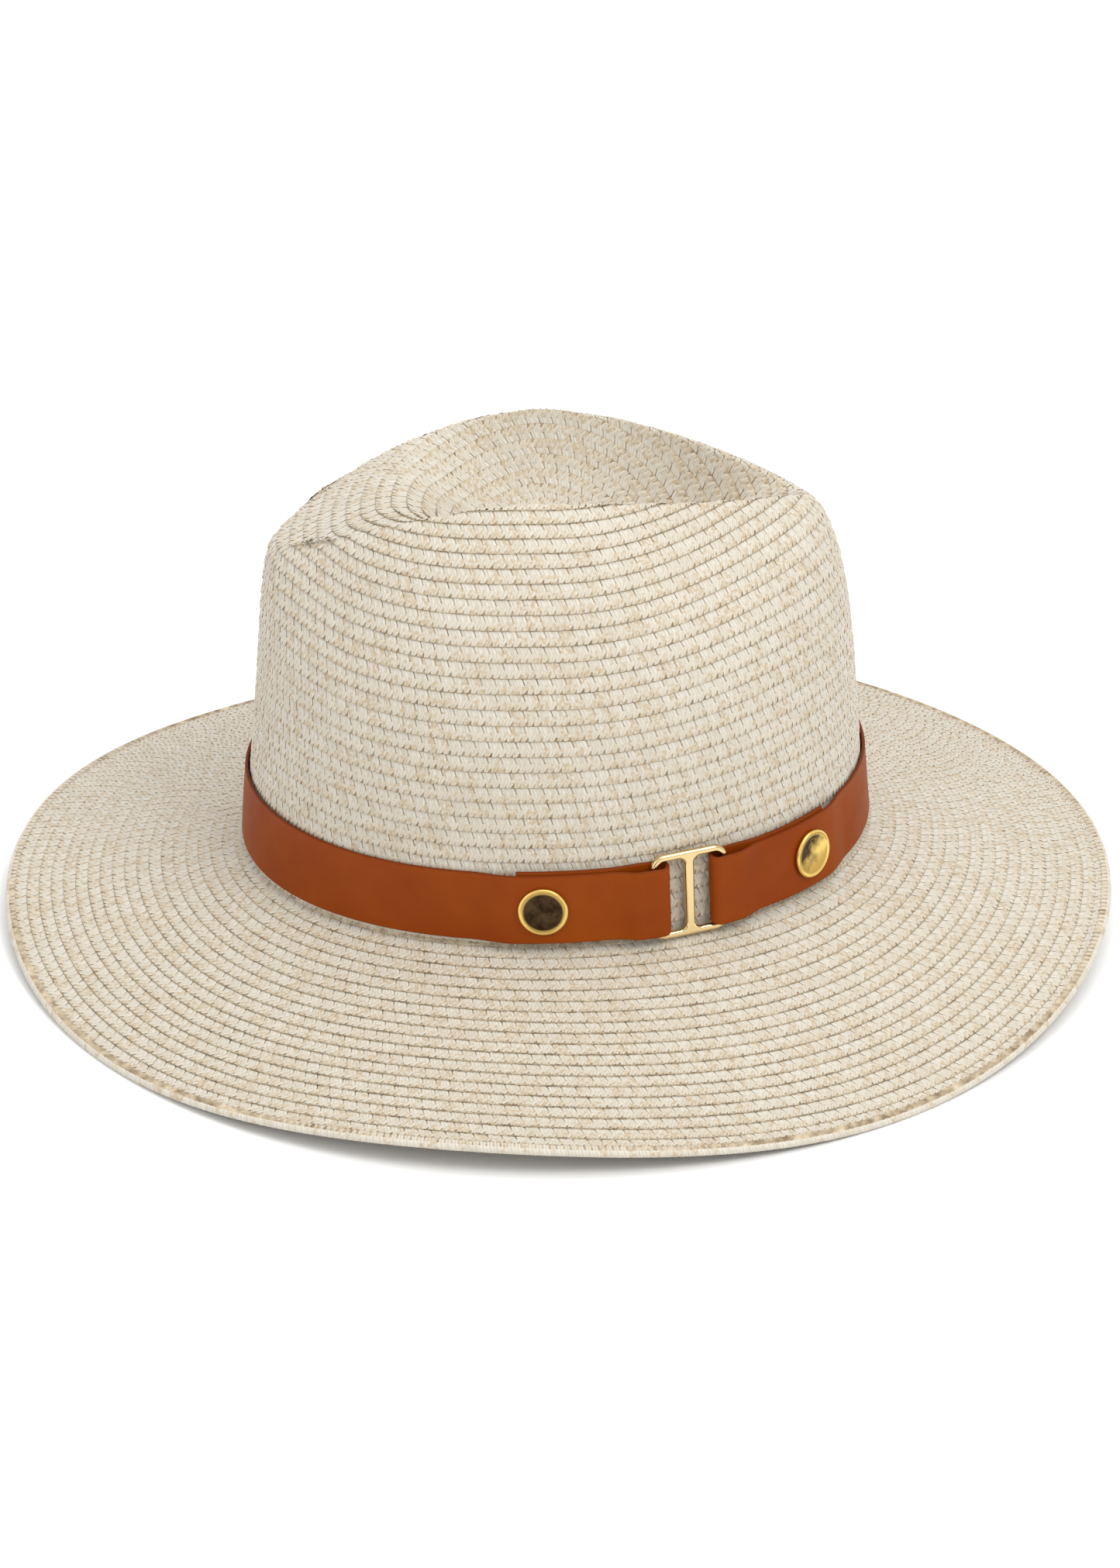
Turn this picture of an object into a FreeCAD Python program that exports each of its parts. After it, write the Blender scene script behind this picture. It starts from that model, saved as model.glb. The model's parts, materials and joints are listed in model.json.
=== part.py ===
import FreeCAD, Part
import math
import os
from FreeCAD import Vector

# A sewn-braid sun hat with a dented crown, a wide drooping brim, a riveted leather-look
# band and a slider buckle. Millimetres.
#
# The model is drawn in the hatter's frame: the origin is the centre of the headline, +Z goes
# up the crown, -Y is the wearer's front and +X the wearer's left. It is then stood on its brim,
# with the origin at the bottom centre of its box. Angles round the hat start at the front and
# grow towards the wearer's left.

# --- Crown ---
crown_half_length = 100.0      # outside of the braid at the headline, front to back
crown_half_width = 87.4        # the same, side to side
braid_thickness = 1.8          # two overlapped plies of plait
headline_dip = 2.2             # the headline is this much lower at the front and back
ridge_height = 126.7           # top of the two ridges above the headline
ridge_peak_y = -2.0            # where along the hat the ridges are highest
ridge_front_y = -84.0          # front end of the crown's top
ridge_back_y = 82.0            # back end, where the two ridges meet
ridge_half_gap = 33.8          # half the distance between the ridges
ridge_widest_y = -5.0          # where they are that far apart
ridge_front_fall = 26.5        # the front end is this much lower than the peak
ridge_back_fall = 15.5         # and the back end this much
ridge_front_length = 106.0     # sets how slowly the ridges close towards the front
dent_depth = 30.0              # the dent's floor below the ridges
dent_centre_y = 15.0
dent_half_length = 48.0
pinch_depth = 4.0              # the hollows in the wall at the front ends of the ridges
pinch_y = -68.0
pinch_height = 98.0
pinch_reach = 17.0             # how far round and down the hollows spread
wall_lean = 2.5                # the wall's upper part leans back by this much
front_straightness = 0.65      # how much of the wall's inward travel is a straight taper
back_straightness = 0.42
side_straightness = 0.10
tip_share = 0.51               # the tip's share of the way from the spiral's centre to the headline

# --- Brim ---
brim_reach = 79.5              # level distance from the headline to the edge
brim_drop = 26.4               # mean height of the headline above the edge
brim_flare = 0.2               # the slope is steeper near the crown by this share
edge_waves = ((5.2, 1.9), (1.6, 1.6), (0.2, -2.1), (2.5, -1.3))   # cosine and sine heights of
                               # the waves that go once, twice, three and four times round
edge_row_width = 3.3           # the narrow last row, turned round the wire
edge_row_radius = 1.3
edge_wire_radius = 0.6
edge_wire_clearance = 0.08
seam_gap = 0.05                # between parts that are sewn or butted together

# --- Sweatband ---
sweatband_width = 32.0
sweatband_thickness = 1.0
sweatband_gap = 0.25           # from the crown's inside, at the bottom
sweatband_slack = 1.2          # and this much more at the free top edge

# --- Strap ---
strap_width = 22.8
strap_thickness = 1.1
strap_gap = 0.45               # from the crown
strap_middle_angle = 115.5     # where the buckle's centre is
rivet_distance = 45.0          # each rivet from the buckle's centre, round the hat
flap_past_rivet = 8.0          # the folded-back ends stop this far past the rivets
flap_rise = 0.8                # the ends are folded back this much high
ply_gap = 0.05                 # between the two plies where they are riveted
fold_slack = 2.5               # from the middle of the buckle's bar to the centre of the fold
loop_reach = 3.9               # past the bar the plies stay apart for this long,
loop_taper = 9.5               # and come together over this much more
end_taper = 14.0               # past the flap's end the strap comes back to the crown over this
near_reach = 22.0              # past the flap's end the strap is drawn with close stations

# --- Buckle and rivets ---
buckle_width = 25.4
bar_width = 2.2
middle_bar_width = 3.0         # the bar between the buckle's two windows
bar_clearance = 0.4            # between a bar and the strap folded round it
window_play = 0.7              # above and below the strap in the buckle's windows
buckle_rise = 0.5              # its middle above the strap's
buckle_overhang = 0.4          # its lower edge below the headline, over the brim's slope
buckle_corner = 4.6
window_corner = 2.2
buckle_rounding = 0.85
cap_radius = 7.75
cap_thickness = 1.5
cap_rim = 0.6
shank_radius = 1.5
shank_clearance = 0.1
back_radius = 4.5
back_thickness = 0.7
back_gap = 0.2                 # between a rivet's back plate and the strap's flap
plate_clearance = 0.02         # between that plate and the crown

around = 72                    # stations round the hat
row_stations = 46              # stations from the spiral's centre to the headline
fine = 8                       # finer steps between those, to measure lengths
brim_stations = 12
flap_stations = 12
fold_stations = 8
near_stations = 20
far_stations = 80
wire_sides = 8
face_stations = 8              # stations of an open bar that one face holds

# --- Sizes that follow from those ---
buckle_height = strap_width + 2 * (window_play + bar_width)
strap_lift = window_play + bar_width - buckle_rise - buckle_overhang   # above the headline
bar_distance = (buckle_width - bar_width) / 2    # each side bar from the buckle's centre
fold_centre = bar_distance - fold_slack
loop_end = bar_distance + loop_reach
pinched_from = loop_end + loop_taper
flap_end = rivet_distance + flap_past_rivet
near_end = flap_end + near_reach


# --- Shape of the hat ---

def smooth(x):
    """0 below 0, 1 above 1, and an even change between."""
    x = min(1.0, max(0.0, x))
    return x * x * (3 - 2 * x)


def mix(a, b, share):
    return a + (b - a) * share


def oval(angle, grow=0.0):
    """A point on the crown's oval at the headline, grown outwards by a distance."""
    x, y = math.sin(angle), -math.cos(angle)
    p = Vector(crown_half_width * x, crown_half_length * y, 0)
    n = Vector(crown_half_length * x, crown_half_width * y, 0).normalize()
    return p + n * grow


def headline_height(angle):
    return -headline_dip * math.cos(2 * angle)


def ridge_height_at(y):
    """Height of the crown's top edge above the headline."""
    if y < ridge_peak_y:
        share = (ridge_peak_y - y) / (ridge_peak_y - ridge_front_y)
        return ridge_height - ridge_front_fall * share ** 1.7
    share = (y - ridge_peak_y) / (ridge_back_y - ridge_peak_y)
    return ridge_height - ridge_back_fall * share ** 1.6


def ridge_gap_at(y):
    """Half the distance between the ridges."""
    if y > ridge_widest_y:
        share = (y - ridge_widest_y) / (ridge_back_y - ridge_widest_y)
        return ridge_half_gap * max(0.0, 1 - share ** 2)
    along = (ridge_widest_y - y) / ridge_front_length
    blunt = (ridge_widest_y - y) / (ridge_widest_y - ridge_front_y)
    return ridge_half_gap * (1 - along ** 2) * math.sqrt(max(0.0, 1 - blunt ** 8))


def ridge_point(angle):
    middle = (ridge_front_y + ridge_back_y) / 2
    y = middle - (ridge_back_y - ridge_front_y) / 2 * math.cos(angle)
    side = 1 if math.sin(angle) >= 0 else -1
    return Vector(side * ridge_gap_at(y), y, ridge_height_at(y))


def dent_height(x, y):
    """Height of the crown's top between the ridges."""
    depth = dent_depth * math.exp(-((y - dent_centre_y) / dent_half_length) ** 4)
    gap = max(ridge_gap_at(y), 1e-6)
    return ridge_height_at(y) - depth * (1 - min(1.0, abs(x) / gap) ** 2)


def wall_point(angle, share):
    """A point on the crown's wall: share 0 is the headline, 1 the ridge."""
    base, top = oval(angle), ridge_point(angle)
    ends = math.cos(angle) ** 2
    straight = mix(side_straightness, front_straightness if base.y < 0 else back_straightness, ends)
    power = mix(2.2, 6.0, ends)
    reach = mix(0.93, 1.0, ends)
    bend = (1 - math.sqrt(1 - (reach * share) ** power)) / (1 - math.sqrt(1 - reach ** power))
    inward = straight * share + (1 - straight) * bend
    p = base + (Vector(top.x, top.y, 0) - base) * inward
    p.y += wall_lean * math.sin(math.pi * share) * share
    p.z = mix(headline_height(angle), top.z, share)
    away = math.hypot(p.y - pinch_y, p.z - pinch_height) / pinch_reach
    p.x -= math.copysign(pinch_depth * math.exp(-away ** 2) * smooth(abs(p.x) / 20), p.x)
    return p


def crown_meridian(angle):
    """Points of the crown's outside from the spiral's centre to the headline, evenly spaced."""
    top = ridge_point(angle)
    count = row_stations * fine
    path = []
    for i in range(count + 1):
        share = i / count
        x, y = top.x * share, top.y * share
        path.append(Vector(x, y, dent_height(x, y)))
    path += [wall_point(angle, 1 - i / count) for i in range(1, count + 1)]
    return evenly(path, row_stations)


def evenly(path, count):
    """count + 1 points at even distances along a path of points."""
    lengths = [0.0]
    for a, b in zip(path, path[1:]):
        lengths.append(lengths[-1] + (b - a).Length)
    points, i = [], 0
    for k in range(count + 1):
        want = lengths[-1] * k / count
        while i < len(path) - 2 and lengths[i + 1] < want:
            i += 1
        share = (want - lengths[i]) / max(lengths[i + 1] - lengths[i], 1e-9)
        points.append(mix(path[i], path[i + 1], share))
    return points


def brim_edge_height(angle):
    waves = sum(c * math.cos(k * angle) + s * math.sin(k * angle)
                for k, (c, s) in enumerate(edge_waves, 1))
    return waves - brim_drop


def brim_point(angle, out):
    """A point on the brim's top, out level from the headline by a distance."""
    share = out / brim_reach
    fall = share + brim_flare * share * (1 - share)
    p = oval(angle, out)
    p.z = mix(headline_height(angle), brim_edge_height(angle), fall)
    return p


# --- Solids from grids of points ---

def grid_surface(grid, round_u=True, u_degree=3, v_degree=3):
    """A surface whose control points are grid[u][v]. It closes on itself in u if round_u."""
    nu, nv = len(grid), len(grid[0])
    u_degree, v_degree = min(u_degree, nu - 1), min(v_degree, nv - 1)
    if round_u:
        u_knots, u_mults = list(range(nu + 1)), [1] * (nu + 1)
    else:
        u_knots, u_mults = clamped(nu, u_degree)
    v_knots, v_mults = clamped(nv, v_degree)
    surface = Part.BSplineSurface()
    surface.buildFromPolesMultsKnots(grid, u_mults, v_mults, u_knots, v_knots,
                                     round_u, False, u_degree, v_degree)
    return surface


def grid_face(grid, round_u=True, u_degree=3, v_degree=3):
    return grid_surface(grid, round_u, u_degree, v_degree).toShape()


def spans_of(surface, stations):
    """Faces that share out an open surface's length, a number of its stations to each."""
    u0, u1, v0, v1 = surface.bounds()
    cuts = [u0 + k * stations for k in range(math.ceil((u1 - u0) / stations))] + [u1]
    faces = []
    for start, end in zip(cuts, cuts[1:]):
        span = surface.copy()
        span.segment(start, end, v0, v1)
        faces.append(span.toShape())
    return faces


def clamped(count, degree):
    spans = count - degree
    return list(range(spans + 1)), [degree + 1] + [1] * (spans - 1) + [degree + 1]


def solid_of(faces):
    shell = Part.makeShell(faces)
    shell.sewShape()
    solid = Part.makeSolid(shell)
    if solid.Volume < 0:
        solid.reverse()
    return solid


def ring_of_plies(outer, inner):
    """A closed ring between an outside and an inside grid, joined by a flat face at each edge."""
    low = [[a[0], b[0]] for a, b in zip(outer, inner)]
    high = [[a[-1], b[-1]] for a, b in zip(outer, inner)]
    return solid_of([grid_face(g) for g in (outer, inner, low, high)])


def bar_of_corners(stations, closed):
    """A long solid through stations, each the same number of corners of its section."""
    count = len(stations[0])
    faces = []
    for k in range(count):
        strip = grid_surface([[s[k], s[(k + 1) % count]] for s in stations], closed)
        faces += [strip.toShape()] if closed else spans_of(strip, face_stations)
    if not closed:
        for s in (stations[0], stations[-1]):
            faces.append(grid_face([[s[0], s[1]], [s[3], s[2]]], False, 1, 1))
    return solid_of(faces)


def inward(grid, distance, low_pole=False):
    """A grid moved square to itself, towards the head, by a distance."""
    nu, nv = len(grid), len(grid[0])
    moved = []
    for u in range(nu):
        line = []
        for v in range(nv):
            if low_pole and v == 0:
                line.append(grid[u][0] - Vector(0, 0, distance))
                continue
            along = grid[u][min(v + 1, nv - 1)] - grid[u][max(v - 1, 0)]
            across = grid[(u + 1) % nu][v] - grid[u - 1][v]
            line.append(grid[u][v] + across.cross(along).normalize() * distance)
        moved.append(line)
    return moved


angles = [2 * math.pi * i / around for i in range(around)]
crown_grid = [crown_meridian(a) for a in angles]
tip_stations = round(row_stations * tip_share)


# --- Parts ---

def make_crown_tip():
    outer = [line[:tip_stations + 1] for line in crown_grid]
    inner = inward(crown_grid, braid_thickness, True)
    inner = [line[:tip_stations + 1] for line in inner]
    rim = [[a[-1], b[-1]] for a, b in zip(outer, inner)]
    return solid_of([grid_face(g) for g in (outer, inner, rim)])


def make_crown_side():
    inner = inward(crown_grid, braid_thickness, True)
    outer_side, inner_side = [], []
    for a, b in zip(crown_grid, inner):
        step = (a[tip_stations + 1] - a[tip_stations]).normalize() * seam_gap
        outer_side.append([a[tip_stations] + step] + a[tip_stations + 1:])
        inner_side.append([b[tip_stations] + step] + b[tip_stations + 1:])
    return ring_of_plies(outer_side, inner_side)


def make_brim():
    outs = [0, 1.5, 4]                 # close stations where the brim leaves the crown
    start, end = 8, brim_reach - edge_row_width
    outs += [mix(start, end, i / brim_stations) for i in range(brim_stations + 1)]
    top = [[oval(a, -braid_thickness) + Vector(0, 0, headline_height(a))]
           + [brim_point(a, out) for out in outs] for a in angles]
    top = [[p - Vector(0, 0, seam_gap) for p in line] for line in top]
    under = [[p - Vector(0, 0, braid_thickness) for p in line] for line in top]
    return ring_of_plies(top, under)


def edge_frame(angle):
    """The wire's centre in the brim's edge, and the ways out and up there."""
    centre = brim_point(angle, brim_reach - edge_row_radius)
    way_in = brim_point(angle, brim_reach - edge_row_radius - 5) - centre
    out = (way_in * -1).normalize()
    round_hat = Vector(0, 0, 1).cross(out).normalize()
    up = out.cross(round_hat)
    return centre - up * (braid_thickness / 2), out, up


def make_brim_edge_row():
    bore = edge_wire_radius + edge_wire_clearance
    leg = edge_row_width - edge_row_radius - seam_gap
    turns = [math.radians(t) for t in (90, 45, 0, -45, -90)]
    stations = []
    for a in angles:
        centre, out, up = edge_frame(a)
        outside = [centre - out * leg + up * braid_thickness / 2]
        outside += [centre + (out * math.cos(t) + up * math.sin(t)) * edge_row_radius for t in turns]
        outside += [centre - out * leg - up * braid_thickness / 2]
        inside = [centre - out * leg - up * 0.1]
        inside += [centre + (out * math.cos(t) + up * math.sin(t)) * bore for t in reversed(turns)]
        inside += [centre - out * leg + up * 0.1]
        stations.append(outside + inside)
    return bar_of_corners(stations, True)


def make_brim_edge_wire():
    stations = []
    for a in angles:
        centre, out, up = edge_frame(a)
        turns = [2 * math.pi * k / wire_sides for k in range(wire_sides)]
        stations.append([centre + (out * math.cos(t) + up * math.sin(t)) * edge_wire_radius
                         for t in turns])
    return bar_of_corners(stations, True)


def wall_at(angle, height):
    """The crown's outside a height above the headline, and its outward direction there."""
    share = height / (ridge_point(angle).z - headline_height(angle))
    p = wall_point(angle, share)
    step = 0.01
    tangent = wall_point(angle + step, share) - wall_point(angle - step, share)
    return p, Vector(tangent.y, -tangent.x, 0).normalize()


def make_sweatband():
    outer, inner = [], []
    steps = 5
    for a in angles:
        outer.append([])
        inner.append([])
        for k in range(steps + 1):
            height = sweatband_width * k / steps
            p, n = wall_at(a, height)
            back = braid_thickness + sweatband_gap + sweatband_slack * (k / steps) ** 2
            outer[-1].append(p - n * back)
            inner[-1].append(p - n * (back + sweatband_thickness))
    return ring_of_plies(outer, inner)


# The strap and what is on it follow the oval: s is the distance round the crown from the
# buckle's centre, growing towards the back, and n the distance out from the crown.

oval_steps = 3600
oval_lengths = [0.0]
for i in range(oval_steps):
    a0 = 2 * math.pi * i / oval_steps
    a1 = 2 * math.pi * (i + 1) / oval_steps
    oval_lengths.append(oval_lengths[-1] + (oval(a1) - oval(a0)).Length)
oval_length = oval_lengths[-1]


def angle_at(s):
    """The angle round the hat at a distance s from the buckle's centre."""
    start = oval_lengths[round(strap_middle_angle * oval_steps / 360)]
    want = (start + s) % oval_length
    low, high = 0, oval_steps
    while high - low > 1:
        mid = (low + high) // 2
        if oval_lengths[mid] <= want:
            low = mid
        else:
            high = mid
    share = (want - oval_lengths[low]) / (oval_lengths[high] - oval_lengths[low])
    return 2 * math.pi * (low + share) / oval_steps


def wall_bulge(s):
    """How far the wall stands out behind the strap's middle, past a line between its edges."""
    a = angle_at(s)
    low, normal = wall_at(a, strap_lift)
    high = wall_at(a, strap_lift + strap_width)[0]
    middle = wall_at(a, strap_lift + strap_width / 2)[0]
    return (middle - mix(low, high, 0.5)).dot(normal)


plate_n = max(wall_bulge(-rivet_distance), wall_bulge(rivet_distance)) + plate_clearance
flap_n = strap_gap + strap_thickness / 2
bar_n = strap_gap + strap_thickness + bar_clearance + bar_width / 2
loop_n = bar_n + bar_width / 2 + bar_clearance + strap_thickness / 2
rivet_flap_n = plate_n + back_thickness + back_gap + strap_thickness / 2
fold_radius = (loop_n - flap_n) / 2


def flap_out(s):
    """How far out the middle of the folded-back ply is."""
    return mix(flap_n, rivet_flap_n, smooth((abs(s) - loop_end) / (pinched_from - loop_end)))


def strap_out(s):
    """How far out the middle of the strap's outer ply is."""
    over_flap = flap_out(s) + strap_thickness + ply_gap
    near = mix(loop_n, over_flap, smooth((abs(s) - loop_end) / (pinched_from - loop_end)))
    return mix(near, flap_n, smooth((abs(s) - flap_end - 1) / end_taper))


def strap_route():
    """(s, n, rise) of the strap's middle line, and the side that faces out there, end to end."""
    route = []
    flap = [mix(flap_end, fold_centre, i / flap_stations) for i in range(flap_stations + 1)]
    turns = [math.pi * i / fold_stations for i in range(1, fold_stations)]
    for s in flap:
        route.append((-s, flap_out(s), flap_rise))
    for t in turns:
        route.append((-fold_centre + fold_radius * math.sin(t),
                      bar_n - fold_radius * math.cos(t), flap_rise * (1 - t / math.pi)))
    near = [mix(fold_centre, near_end, i / near_stations) for i in range(near_stations + 1)]
    route += [(-s, strap_out(s), 0) for s in near]
    route += [(-mix(near_end, oval_length - near_end, i / far_stations), flap_n, 0)
              for i in range(1, far_stations)]
    route += [(-(oval_length - s), strap_out(s), 0) for s in reversed(near)]
    for t in reversed(turns):
        route.append((-oval_length + fold_centre - fold_radius * math.sin(t),
                      bar_n - fold_radius * math.cos(t), flap_rise * (1 - t / math.pi)))
    for s in reversed(flap):
        route.append((-oval_length + s, flap_out(s), flap_rise))
    return route


def on_band(s, n, height):
    """A point at a distance s round, n out, and a height above the strap's lower edge."""
    a = angle_at(s)
    low, normal = wall_at(a, strap_lift)
    high = wall_at(a, strap_lift + strap_width)[0]
    return mix(low, high, height / strap_width) + normal * n


def make_hat_band():
    route = strap_route()
    count = len(route)
    stations = []
    for i, (s, n, rise) in enumerate(route):
        s0, n0 = route[max(i - 1, 0)][:2]
        s1, n1 = route[min(i + 1, count - 1)][:2]
        length = math.hypot(s1 - s0, n1 - n0)
        side_s, side_n = -(n1 - n0) / length, (s1 - s0) / length
        half = strap_thickness / 2
        corners = []
        for sign, height in ((1, 0), (1, strap_width), (-1, strap_width), (-1, 0)):
            corners.append(on_band(s + sign * side_s * half, n + sign * side_n * half, height + rise))
        stations.append(corners)
    strap = bar_of_corners(stations, False)
    for place in rivet_places():
        hole = Part.makeCylinder(shank_radius + shank_clearance, 12 * strap_thickness,
                                 Vector(0, 0, -6 * strap_thickness))
        hole.Placement = place
        strap = strap.cut(hole)
    return strap.Solids[0] if len(strap.Solids) == 1 else strap


def face_placement(s, n, height):
    """A placement on the band: its Z goes out and its Y up the strap."""
    low, high = on_band(s, n, height - 5), on_band(s, n, height + 5)
    up = (high - low).normalize()
    before, after = on_band(s - 4, n, height), on_band(s + 4, n, height)
    along = (after - before).normalize()
    out = along.cross(up).normalize()
    up = out.cross(along).normalize()
    return FreeCAD.Placement(on_band(s, n, height), FreeCAD.Rotation(along, up, out, "ZXY"))


def rivet_places():
    """Where each rivet goes through the strap's outer face, front one first."""
    n = strap_out(rivet_distance) + strap_thickness / 2
    return [face_placement(side * rivet_distance, n, strap_width / 2) for side in (-1, 1)]


def make_rivet_cap(place):
    """A flat cap with a rolled rim."""
    r, t, e = cap_radius, cap_thickness, cap_rim
    outline = [Vector(0, 0, 0), Vector(r - e, 0, 0), Vector(r, 0, e), Vector(r, 0, t - e),
               Vector(r - e, 0, t), Vector(0, 0, t)]
    diagonal = e * (1 - math.sqrt(0.5))
    edges = [Part.makeLine(outline[0], outline[1]),
             Part.Arc(outline[1], Vector(r - diagonal, 0, diagonal), outline[2]).toShape(),
             Part.makeLine(outline[2], outline[3]),
             Part.Arc(outline[3], Vector(r - diagonal, 0, t - diagonal), outline[4]).toShape(),
             Part.makeLine(outline[4], outline[5]),
             Part.makeLine(outline[5], outline[0])]
    cap = Part.Face(Part.Wire(edges)).revolve(Vector(0, 0, 0), Vector(0, 0, 1), 360)
    cap = Part.makeSolid(cap) if cap.ShapeType != "Solid" else cap
    cap.Placement = place
    return cap


def make_rivet_post(place):
    """The shank through both plies and the round plate behind them."""
    through = 2 * strap_thickness + ply_gap + back_gap
    plate = Part.makeCylinder(back_radius, back_thickness, Vector(0, 0, -through - back_thickness))
    shank = Part.makeCylinder(shank_radius, through + back_thickness / 2,
                              Vector(0, 0, -through - back_thickness / 2))
    post = plate.fuse(shank).removeSplitter().Solids[0]
    post.Placement = place
    return post


def rounded_plate(width, height, corner, centre_x, thickness):
    """A plate with rounded corners, its mid-plane at z = 0."""
    x0, x1 = centre_x - width / 2, centre_x + width / 2
    y = height / 2
    box = Part.makeBox(width, height, thickness, Vector(x0, -y, -thickness / 2))
    upright = [e for e in box.Edges if abs(e.tangentAt(e.FirstParameter).z) > 0.9]
    return box.makeFillet(corner, upright)


def make_buckle():
    plate = rounded_plate(buckle_width, buckle_height, buckle_corner, 0, bar_width)
    window = (buckle_width - 2 * bar_width - middle_bar_width) / 2
    for side in (-1, 1):
        centre = side * (window + middle_bar_width) / 2
        plate = plate.cut(rounded_plate(window, buckle_height - 2 * bar_width, window_corner,
                                        centre, 2 * bar_width))
    buckle = plate.makeFillet(buckle_rounding, [e for e in plate.Edges
                                                if abs(abs(e.CenterOfMass.z) - bar_width / 2) < 1e-6])
    here = face_placement(0, 0, strap_width / 2)
    bars = [on_band(side * bar_distance, bar_n, strap_width / 2 + buckle_rise)
            for side in (-1, 1)]
    place = FreeCAD.Placement((bars[0] + bars[1]) * 0.5, here.Rotation)
    buckle.Placement = place
    return buckle.Solids[0]


# --- Standing on the brim ---

def standing_tip():
    """The turn that stands the hat on the three points of its edge that carry it."""
    samples = 90
    points = []
    for i in range(samples):
        centre = edge_frame(2 * math.pi * i / samples)[0]
        points.append(centre - Vector(0, 0, edge_row_radius))
    lowest, carriers = math.inf, None
    for i in range(samples):
        for j in range(i + 1, samples):
            for k in range(j + 1, samples):
                a, b, c = points[i], points[j], points[k]
                shares = [q.x * r.y - r.x * q.y for q, r in ((b, c), (c, a), (a, b))]
                if min(shares) < 0:
                    continue
                height = sum(p.z * share for p, share in zip((a, b, c), shares)) / sum(shares)
                if height < lowest:
                    lowest, carriers = height, (a, b, c)
    a, b, c = carriers
    return FreeCAD.Rotation((b - a).cross(c - a), Vector(0, 0, 1))


def standing_placement(edge_row):
    """Stands the hat on its brim, with the origin at the bottom centre of its box."""
    tip = standing_tip()
    points = [tip.multVec(p) for p in edge_row.tessellate(0.05)[0]]
    low = [min(p[k] for p in points) for k in range(3)]
    high = [max(p[k] for p in points) for k in range(3)]
    shift = Vector(-(low[0] + high[0]) / 2, -(low[1] + high[1]) / 2, -low[2])
    return FreeCAD.Placement(shift, tip)


def build():
    front_rivet, rear_rivet = rivet_places()
    parts = {
        "crown_tip": make_crown_tip(),
        "crown_side": make_crown_side(),
        "brim": make_brim(),
        "brim_edge_row": make_brim_edge_row(),
        "brim_edge_wire": make_brim_edge_wire(),
        "sweatband": make_sweatband(),
        "hat_band": make_hat_band(),
        "slider_buckle": make_buckle(),
        "rivet_cap_front": make_rivet_cap(front_rivet),
        "rivet_cap_rear": make_rivet_cap(rear_rivet),
        "rivet_post_front": make_rivet_post(front_rivet),
        "rivet_post_rear": make_rivet_post(rear_rivet),
    }
    standing = standing_placement(parts["brim_edge_row"])
    os.makedirs("parts", exist_ok=True)
    for name, shape in parts.items():
        shape.Placement = standing.multiply(shape.Placement)
        shape.exportStep(f"parts/{name}.step")
        box = shape.BoundBox
        print(f"{name:18} {shape.ShapeType:8} valid {shape.isValid()} closed "
              f"{all(s.isClosed() for s in shape.Shells)} {shape.Volume:9.0f} mm3 "
              f"x {box.XMin:.1f}..{box.XMax:.1f} y {box.YMin:.1f}..{box.YMax:.1f} "
              f"z {box.ZMin:.1f}..{box.ZMax:.1f}")
    print("standing placement:", standing)


build()
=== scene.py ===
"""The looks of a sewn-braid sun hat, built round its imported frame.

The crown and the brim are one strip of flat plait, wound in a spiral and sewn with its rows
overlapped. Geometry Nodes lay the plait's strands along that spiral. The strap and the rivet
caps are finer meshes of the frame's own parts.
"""
import json
import logging
import math
from dataclasses import dataclass, field
from enum import Enum
from typing import Callable

import bpy
import numpy as np
from bpy.types import Material, Modifier, Node, NodeSocket, NodeTree, Object
from mathutils import Matrix, Vector


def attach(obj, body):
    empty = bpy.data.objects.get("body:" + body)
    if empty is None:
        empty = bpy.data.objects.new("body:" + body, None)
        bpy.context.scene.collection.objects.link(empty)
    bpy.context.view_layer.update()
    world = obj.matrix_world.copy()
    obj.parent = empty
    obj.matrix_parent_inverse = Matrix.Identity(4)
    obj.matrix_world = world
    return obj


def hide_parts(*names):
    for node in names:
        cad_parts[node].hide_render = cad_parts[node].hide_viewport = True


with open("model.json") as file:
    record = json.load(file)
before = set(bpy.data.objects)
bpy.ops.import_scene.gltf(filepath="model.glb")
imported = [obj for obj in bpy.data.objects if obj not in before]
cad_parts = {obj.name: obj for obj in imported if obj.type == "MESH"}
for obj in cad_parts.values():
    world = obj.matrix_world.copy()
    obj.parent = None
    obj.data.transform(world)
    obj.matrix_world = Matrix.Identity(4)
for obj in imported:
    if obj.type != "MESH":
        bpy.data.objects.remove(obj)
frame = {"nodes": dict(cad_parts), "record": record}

Array = np.ndarray
LOG = logging.getLogger("sun_hat")
MM = 0.001
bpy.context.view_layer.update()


def smooth(x: Array) -> Array:
    """0 below 0, 1 above 1, and an even change between."""
    x = np.clip(x, 0.0, 1.0)
    return x * x * (3 - 2 * x)


def mix(a: Array, b: Array, share: Array) -> Array:
    """a where share is 0, b where it is 1, and between them in between."""
    return a + (b - a) * share


def unit(v: Array) -> Array:
    """The vectors along the last axis, made one long."""
    return v / np.maximum(np.linalg.norm(v, axis=-1, keepdims=True), 1e-12)


# --- The hat's shape ---

@dataclass(frozen=True)
class Standing:
    """Where the hatter's frame is when the hat stands on its brim."""
    turn: Array
    shift: Array

    @classmethod
    def of(cls, record: dict) -> "Standing":
        """Reads the crown's axis and the headline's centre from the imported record.

        Args:
            record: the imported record.
        Returns:
            The turn and the shift, in metres.
        """
        axis = Vector(record["behaviour"]["joints"][0]["axis"])
        turn = Vector((0, 0, 1)).rotation_difference(axis).to_matrix()
        return cls(np.array(turn), np.array(record["mounts"][0]["pos_m"]))

    def points(self, p: Array) -> Array:
        """Points in the hatter's frame, in millimetres, to the row's frame, in metres."""
        return p @ self.turn.T * MM + self.shift

    def ways(self, v: Array) -> Array:
        """Directions in the hatter's frame to the row's frame."""
        return v @ self.turn.T


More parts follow.
